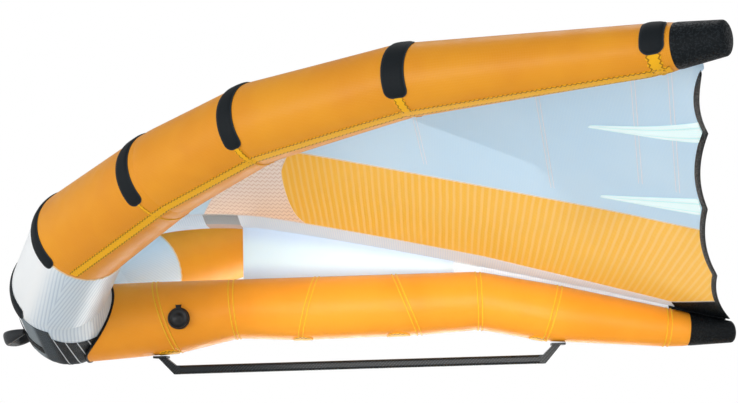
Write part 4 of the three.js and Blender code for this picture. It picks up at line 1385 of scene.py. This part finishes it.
def web(name, front, rear):
    """The sheet between strut and canopy, slightly billowed. front and rear are in millimetres."""
    x = np.linspace(front, rear, 60) * MM
    chord = np.linspace(0, 1, 200)
    line = canopy(np.zeros(200), chord)
    top = np.interp(x, line[:, 0], line[:, 2]) - CLOTH / 2
    quarter = np.full(60, pi / 2)
    low = strut_skin(strut_place(x), quarter, 0.4 * MM)[:, 2]
    share = np.linspace(0, 1, 16)
    z = low[:, None] * (1 - share) + top[:, None] * share
    bow = 5 * MM * np.sin(pi * share)[None] * np.sin(np.linspace(0, pi, 60))[:, None]
    points = stacked(x[:, None], bow, z)
    cloth = stacked(x[:, None], share[None])
    return slab(name, points, 0.9 * MM, cloth)


dress(web("strut_web_cloth", -324, 277), "web", "strut_web")
dress(web("strut_rear_flap", 352, 874), "centre")
dress(web("corner_patch_flap", 875, 1031), "black")


# ------------------------------------------------------------------ boom
for node in ("boom_tube", "boom_front_leg", "boom_rear_leg"):
    piece = NODES[node]
    bevel = piece.modifiers.new("softened_edges", "BEVEL")
    bevel.width = 1.5 * MM
    bevel.segments = 3
    bevel.limit_method = "ANGLE"
    bevel.angle_limit = radians(35)
    paint(piece, "carbon")


# ------------------------------------------------------------------ inflation valve
VALVE_X, VALVE_Z = -492 * MM, 152 * MM


def valve_lathe(name, profile, count=64, floor=None):
    """Turns a loop of (radius, height out of the strut) points, in millimetres, round the valve's axis."""
    loop = np.array(profile) * MM
    turn = np.linspace(0, 2 * pi, count, endpoint=False)
    rings = np.zeros((count, len(loop), 3))
    rings[..., 0] = VALVE_X + loop[None, :, 0] * np.cos(turn)[:, None]
    rings[..., 2] = VALVE_Z + loop[None, :, 0] * np.sin(turn)[:, None]
    height = np.broadcast_to(loop[None, :, 1], rings.shape[:2]).copy()
    if floor is not None:
        for j in floor:
            height[:, j] = surface_height(rings[:, j]) + 0.6 * MM
    rings[..., 1] = -height
    return sweep(name, rings, np.zeros((count, len(loop), 1)), closed=True)


def surface_height(points):
    """How far out the strut's skin lies at each point's x and z, on the left side."""
    place, angle = np.meshgrid(np.linspace(0.9, 1.8, 90), np.radians(np.linspace(130, 235, 200)))
    skin = strut_cloth(place, angle).reshape(-1, 3)
    gap = (skin[None, :, 0] - points[:, None, 0]) ** 2 + (skin[None, :, 2] - points[:, None, 2]) ** 2
    return -skin[np.argmin(gap, 1), 1]


def valve_block(name, width, low, high, near, far):
    """A box across the valve's axis, in millimetres: between two heights up the strut and two out of it."""
    made = bmesh.new()
    bmesh.ops.create_cube(made, size=1)
    for v in made.verts:
        v.co.x = VALVE_X + v.co.x * width * MM
        v.co.z = VALVE_Z + (low + high) / 2 * MM + v.co.z * (high - low) * MM
        v.co.y = -((near + far) / 2 * MM + v.co.y * (far - near) * MM)
    bmesh.ops.bevel(made, geom=made.edges[:], offset=0.9 * MM, segments=2, affect="EDGES")
    bmesh.ops.recalc_face_normals(made, faces=made.faces)
    mesh = bpy.data.meshes.new(name)
    made.to_mesh(mesh)
    made.free()
    obj = bpy.data.objects.new(name, mesh)
    bpy.context.scene.collection.objects.link(obj)
    return obj


# Points 5 to 8 of the base's loop, counted from 0, rest on the strut's skin.
base_loop = [
    (13, 74), (17, 74), (17, 88), (17, 94), (17.4, 97), (22, 97), (24, 96), (29, 96), (30.4, 96),
    (30.4, 101.5), (29.6, 103.2), (28, 104), (14, 104), (13, 103),
]
base = valve_lathe("valve_base_ring", base_loop, floor=(5, 6, 7, 8))
lug = valve_block("valve_base_lug", 14, 26, 37, 98, 103.8)
guides = [valve_block("valve_base_guide", 14, low, low + 11.2, 82, 85) for low in (3.8, -15)]
valve_base = joined("valve_base_body", [base, lug] + guides)
dress(valve_base, "plastic", "valve_base")

cap_loop = [
    (0.05, 108), (9, 108), (9.4, 100.2), (11.4, 100.2), (11.8, 101), (11.8, 104.4), (27, 104.4),
    (27.5, 104.9), (27.5, 111.6), (26.6, 112.6), (24.8, 112.6), (23.6, 111.4), (22, 110), (12, 110.3),
    (11, 111), (3, 111.2), (0.05, 111.2),
]
cap = valve_lathe("valve_cap_disc", cap_loop)
tab = valve_block("valve_cap_tab", 11, 24.5, 34, 104.4, 108.6)
turn = np.linspace(0, 2 * pi, 20, endpoint=False)
knuckle_rings = np.zeros((5, 20, 3))
knuckle_rings[..., 0] = VALVE_X + np.array([-5.5, -5.2, 0, 5.2, 5.5])[:, None] * MM
knuckle_radius = np.array([2.0, 2.5, 2.5, 2.5, 2.0])[:, None] * MM
knuckle_rings[..., 1] = -106.9 * MM + knuckle_radius * np.cos(turn)
knuckle_rings[..., 2] = VALVE_Z + 34 * MM + knuckle_radius * np.sin(turn)
knuckle = sweep("valve_cap_knuckle", knuckle_rings, np.zeros((5, 20, 1)))
dress(joined("valve_cap_body", [cap, tab, knuckle]), "plastic", "valve_cap", body="valve_cap")

plunger_loop = [
    (0.05, 70.7), (14.6, 70.7), (15, 71.2), (15, 73.2), (14.6, 73.7), (3.2, 73.7), (3, 74), (3, 94.5),
    (4.6, 94.5), (5, 94.9), (5, 96.5), (4.5, 97), (0.05, 97),
]
plunger = valve_lathe("valve_plunger_body", plunger_loop, 48)
dress(plunger, "plastic", "valve_plunger", body="valve_plunger")
paint(NODES["valve_spring"], "steel")


def cut_round_hole(obj, radius, near, far):
    """A round hole along the valve's axis."""
    loop = [(0.05, near), (radius, near), (radius, far), (0.05, far)]
    cutter = valve_lathe("hole_cutter", loop)
    cut = obj.modifiers.new("hole", "BOOLEAN")
    cut.operation = "DIFFERENCE"
    cut.object = cutter
    bpy.context.view_layer.objects.active = obj
    bpy.ops.object.modifier_apply(modifier=cut.name)
    bpy.data.objects.remove(cutter)


cut_round_hole(bpy.data.objects["strut_valve_panel_cloth"], 17.4, 70, 125)
cut_round_hole(bpy.data.objects["strut_bladder_skin"], 18.2, 60, 125)


# ------------------------------------------------------------------ floor, light and camera
CAMERA_AT = (0.1797, -3.4969, -0.0755)
CAMERA_YAW, CAMERA_PITCH, CAMERA_ROLL = radians(-2.262), radians(8.970), radians(-1.637)
CAMERA_LENS = 60.06
FLOOR_HEIGHT, FLOOR_HALF = -0.6, 30.0


def set_camera():
    """Low, on the wing's left, looking slightly up."""
    data = bpy.data.cameras.new("camera")
    data.sensor_width = 36
    data.lens = CAMERA_LENS
    data.clip_start, data.clip_end = 0.05, 60
    camera = bpy.data.objects.new("camera", data)
    yaw, pitch, roll = CAMERA_YAW, CAMERA_PITCH, CAMERA_ROLL
    ahead = Vector((sin(yaw) * cos(pitch), cos(yaw) * cos(pitch), sin(pitch)))
    right = Vector((cos(yaw), -sin(yaw), 0))
    up = right.cross(ahead)
    turned_right = right * cos(roll) + up * sin(roll)
    turned_up = up * cos(roll) - right * sin(roll)
    matrix = Matrix((turned_right, turned_up, -ahead)).transposed().to_4x4()
    matrix.translation = CAMERA_AT
    camera.matrix_world = matrix
    bpy.context.scene.collection.objects.link(camera)
    bpy.context.scene.camera = camera


def area_light(name, place, target, size, power, color, spread=pi):
    data = bpy.data.lights.new(name, "AREA")
    data.shape = "DISK"
    data.size = size
    data.energy = power
    data.spread = spread
    data.color = color
    lamp = bpy.data.objects.new(name, data)
    lamp.location = place
    lamp.visible_camera = False
    lamp.rotation_mode = "QUATERNION"
    lamp.rotation_quaternion = (Vector(target) - Vector(place)).to_track_quat("-Z", "Y")
    bpy.context.scene.collection.objects.link(lamp)


def pale_room():
    """A near-white floor and an even white surround."""
    g = Graph("pale_floor", 0.85)
    g.set("Base Color", "FAFAFA")
    corners = [
        (x * FLOOR_HALF, y * FLOOR_HALF, FLOOR_HEIGHT)
        for x, y in ((-1, -1), (1, -1), (1, 1), (-1, 1))
    ]
    floor = finish_mesh("floor", corners, [(0, 1, 2, 3)], smooth=False)
    floor.data.materials.append(g.material)
    world = bpy.data.worlds.new("studio")
    world.use_nodes = True
    tree = world.node_tree
    background = tree.nodes["Background"]
    ray = tree.nodes.new("ShaderNodeLightPath")
    direction = tree.nodes.new("ShaderNodeTexCoord")
    parts = tree.nodes.new("ShaderNodeSeparateXYZ")
    tree.links.new(direction.outputs["Generated"], parts.inputs[0])
    sky = tree.nodes.new("ShaderNodeMapRange")
    tree.links.new(parts.outputs["Z"], sky.inputs["Value"])
    for socket, value in zip(sky.inputs[1:5], (0.0, 0.6, 0.95, 0.38)):
        socket.default_value = value
    strength = tree.nodes.new("ShaderNodeMix")
    tree.links.new(ray.outputs["Is Camera Ray"], strength.inputs[0])
    tree.links.new(sky.outputs[0], strength.inputs[2])
    strength.inputs[3].default_value = 1.0
    tree.links.new(strength.outputs[0], background.inputs["Strength"])
    background.inputs["Color"].default_value = (1, 1, 1, 1)
    bpy.context.scene.world = world


set_camera()
pale_room()
area_light("low_left", (-3.2, -3.4, -0.3), (0, 0, 0.25), 3.0, 96, (1.0, 0.98, 0.96))
area_light("low_front", (0.7, -3.3, -0.3), (0.2, 0, 0.3), 1.5, 9, (1.0, 0.99, 0.98))
area_light("strut_fill", (0.15, -0.72, 0.10), (0.12, 0, 0.14), 0.9, 1.05, (1.0, 0.98, 0.96), radians(50))
area_light("tail_fill", (0.78, -0.62, 0.02), (0.72, 0, 0.12), 0.6, 0.3, (1.0, 0.98, 0.96), radians(50))
area_light("overhead", (0.6, 0.6, 3.6), (0.2, 0.4, 0.4), 2.5, 32, (1.0, 0.99, 0.98))
area_light("under", (0.1, 0.9, -0.56), (0.1, 0.7, 0.4), 1.8, 40, (0.97, 1.0, 1.0))
bpy.context.scene.view_settings.view_transform = "Standard"
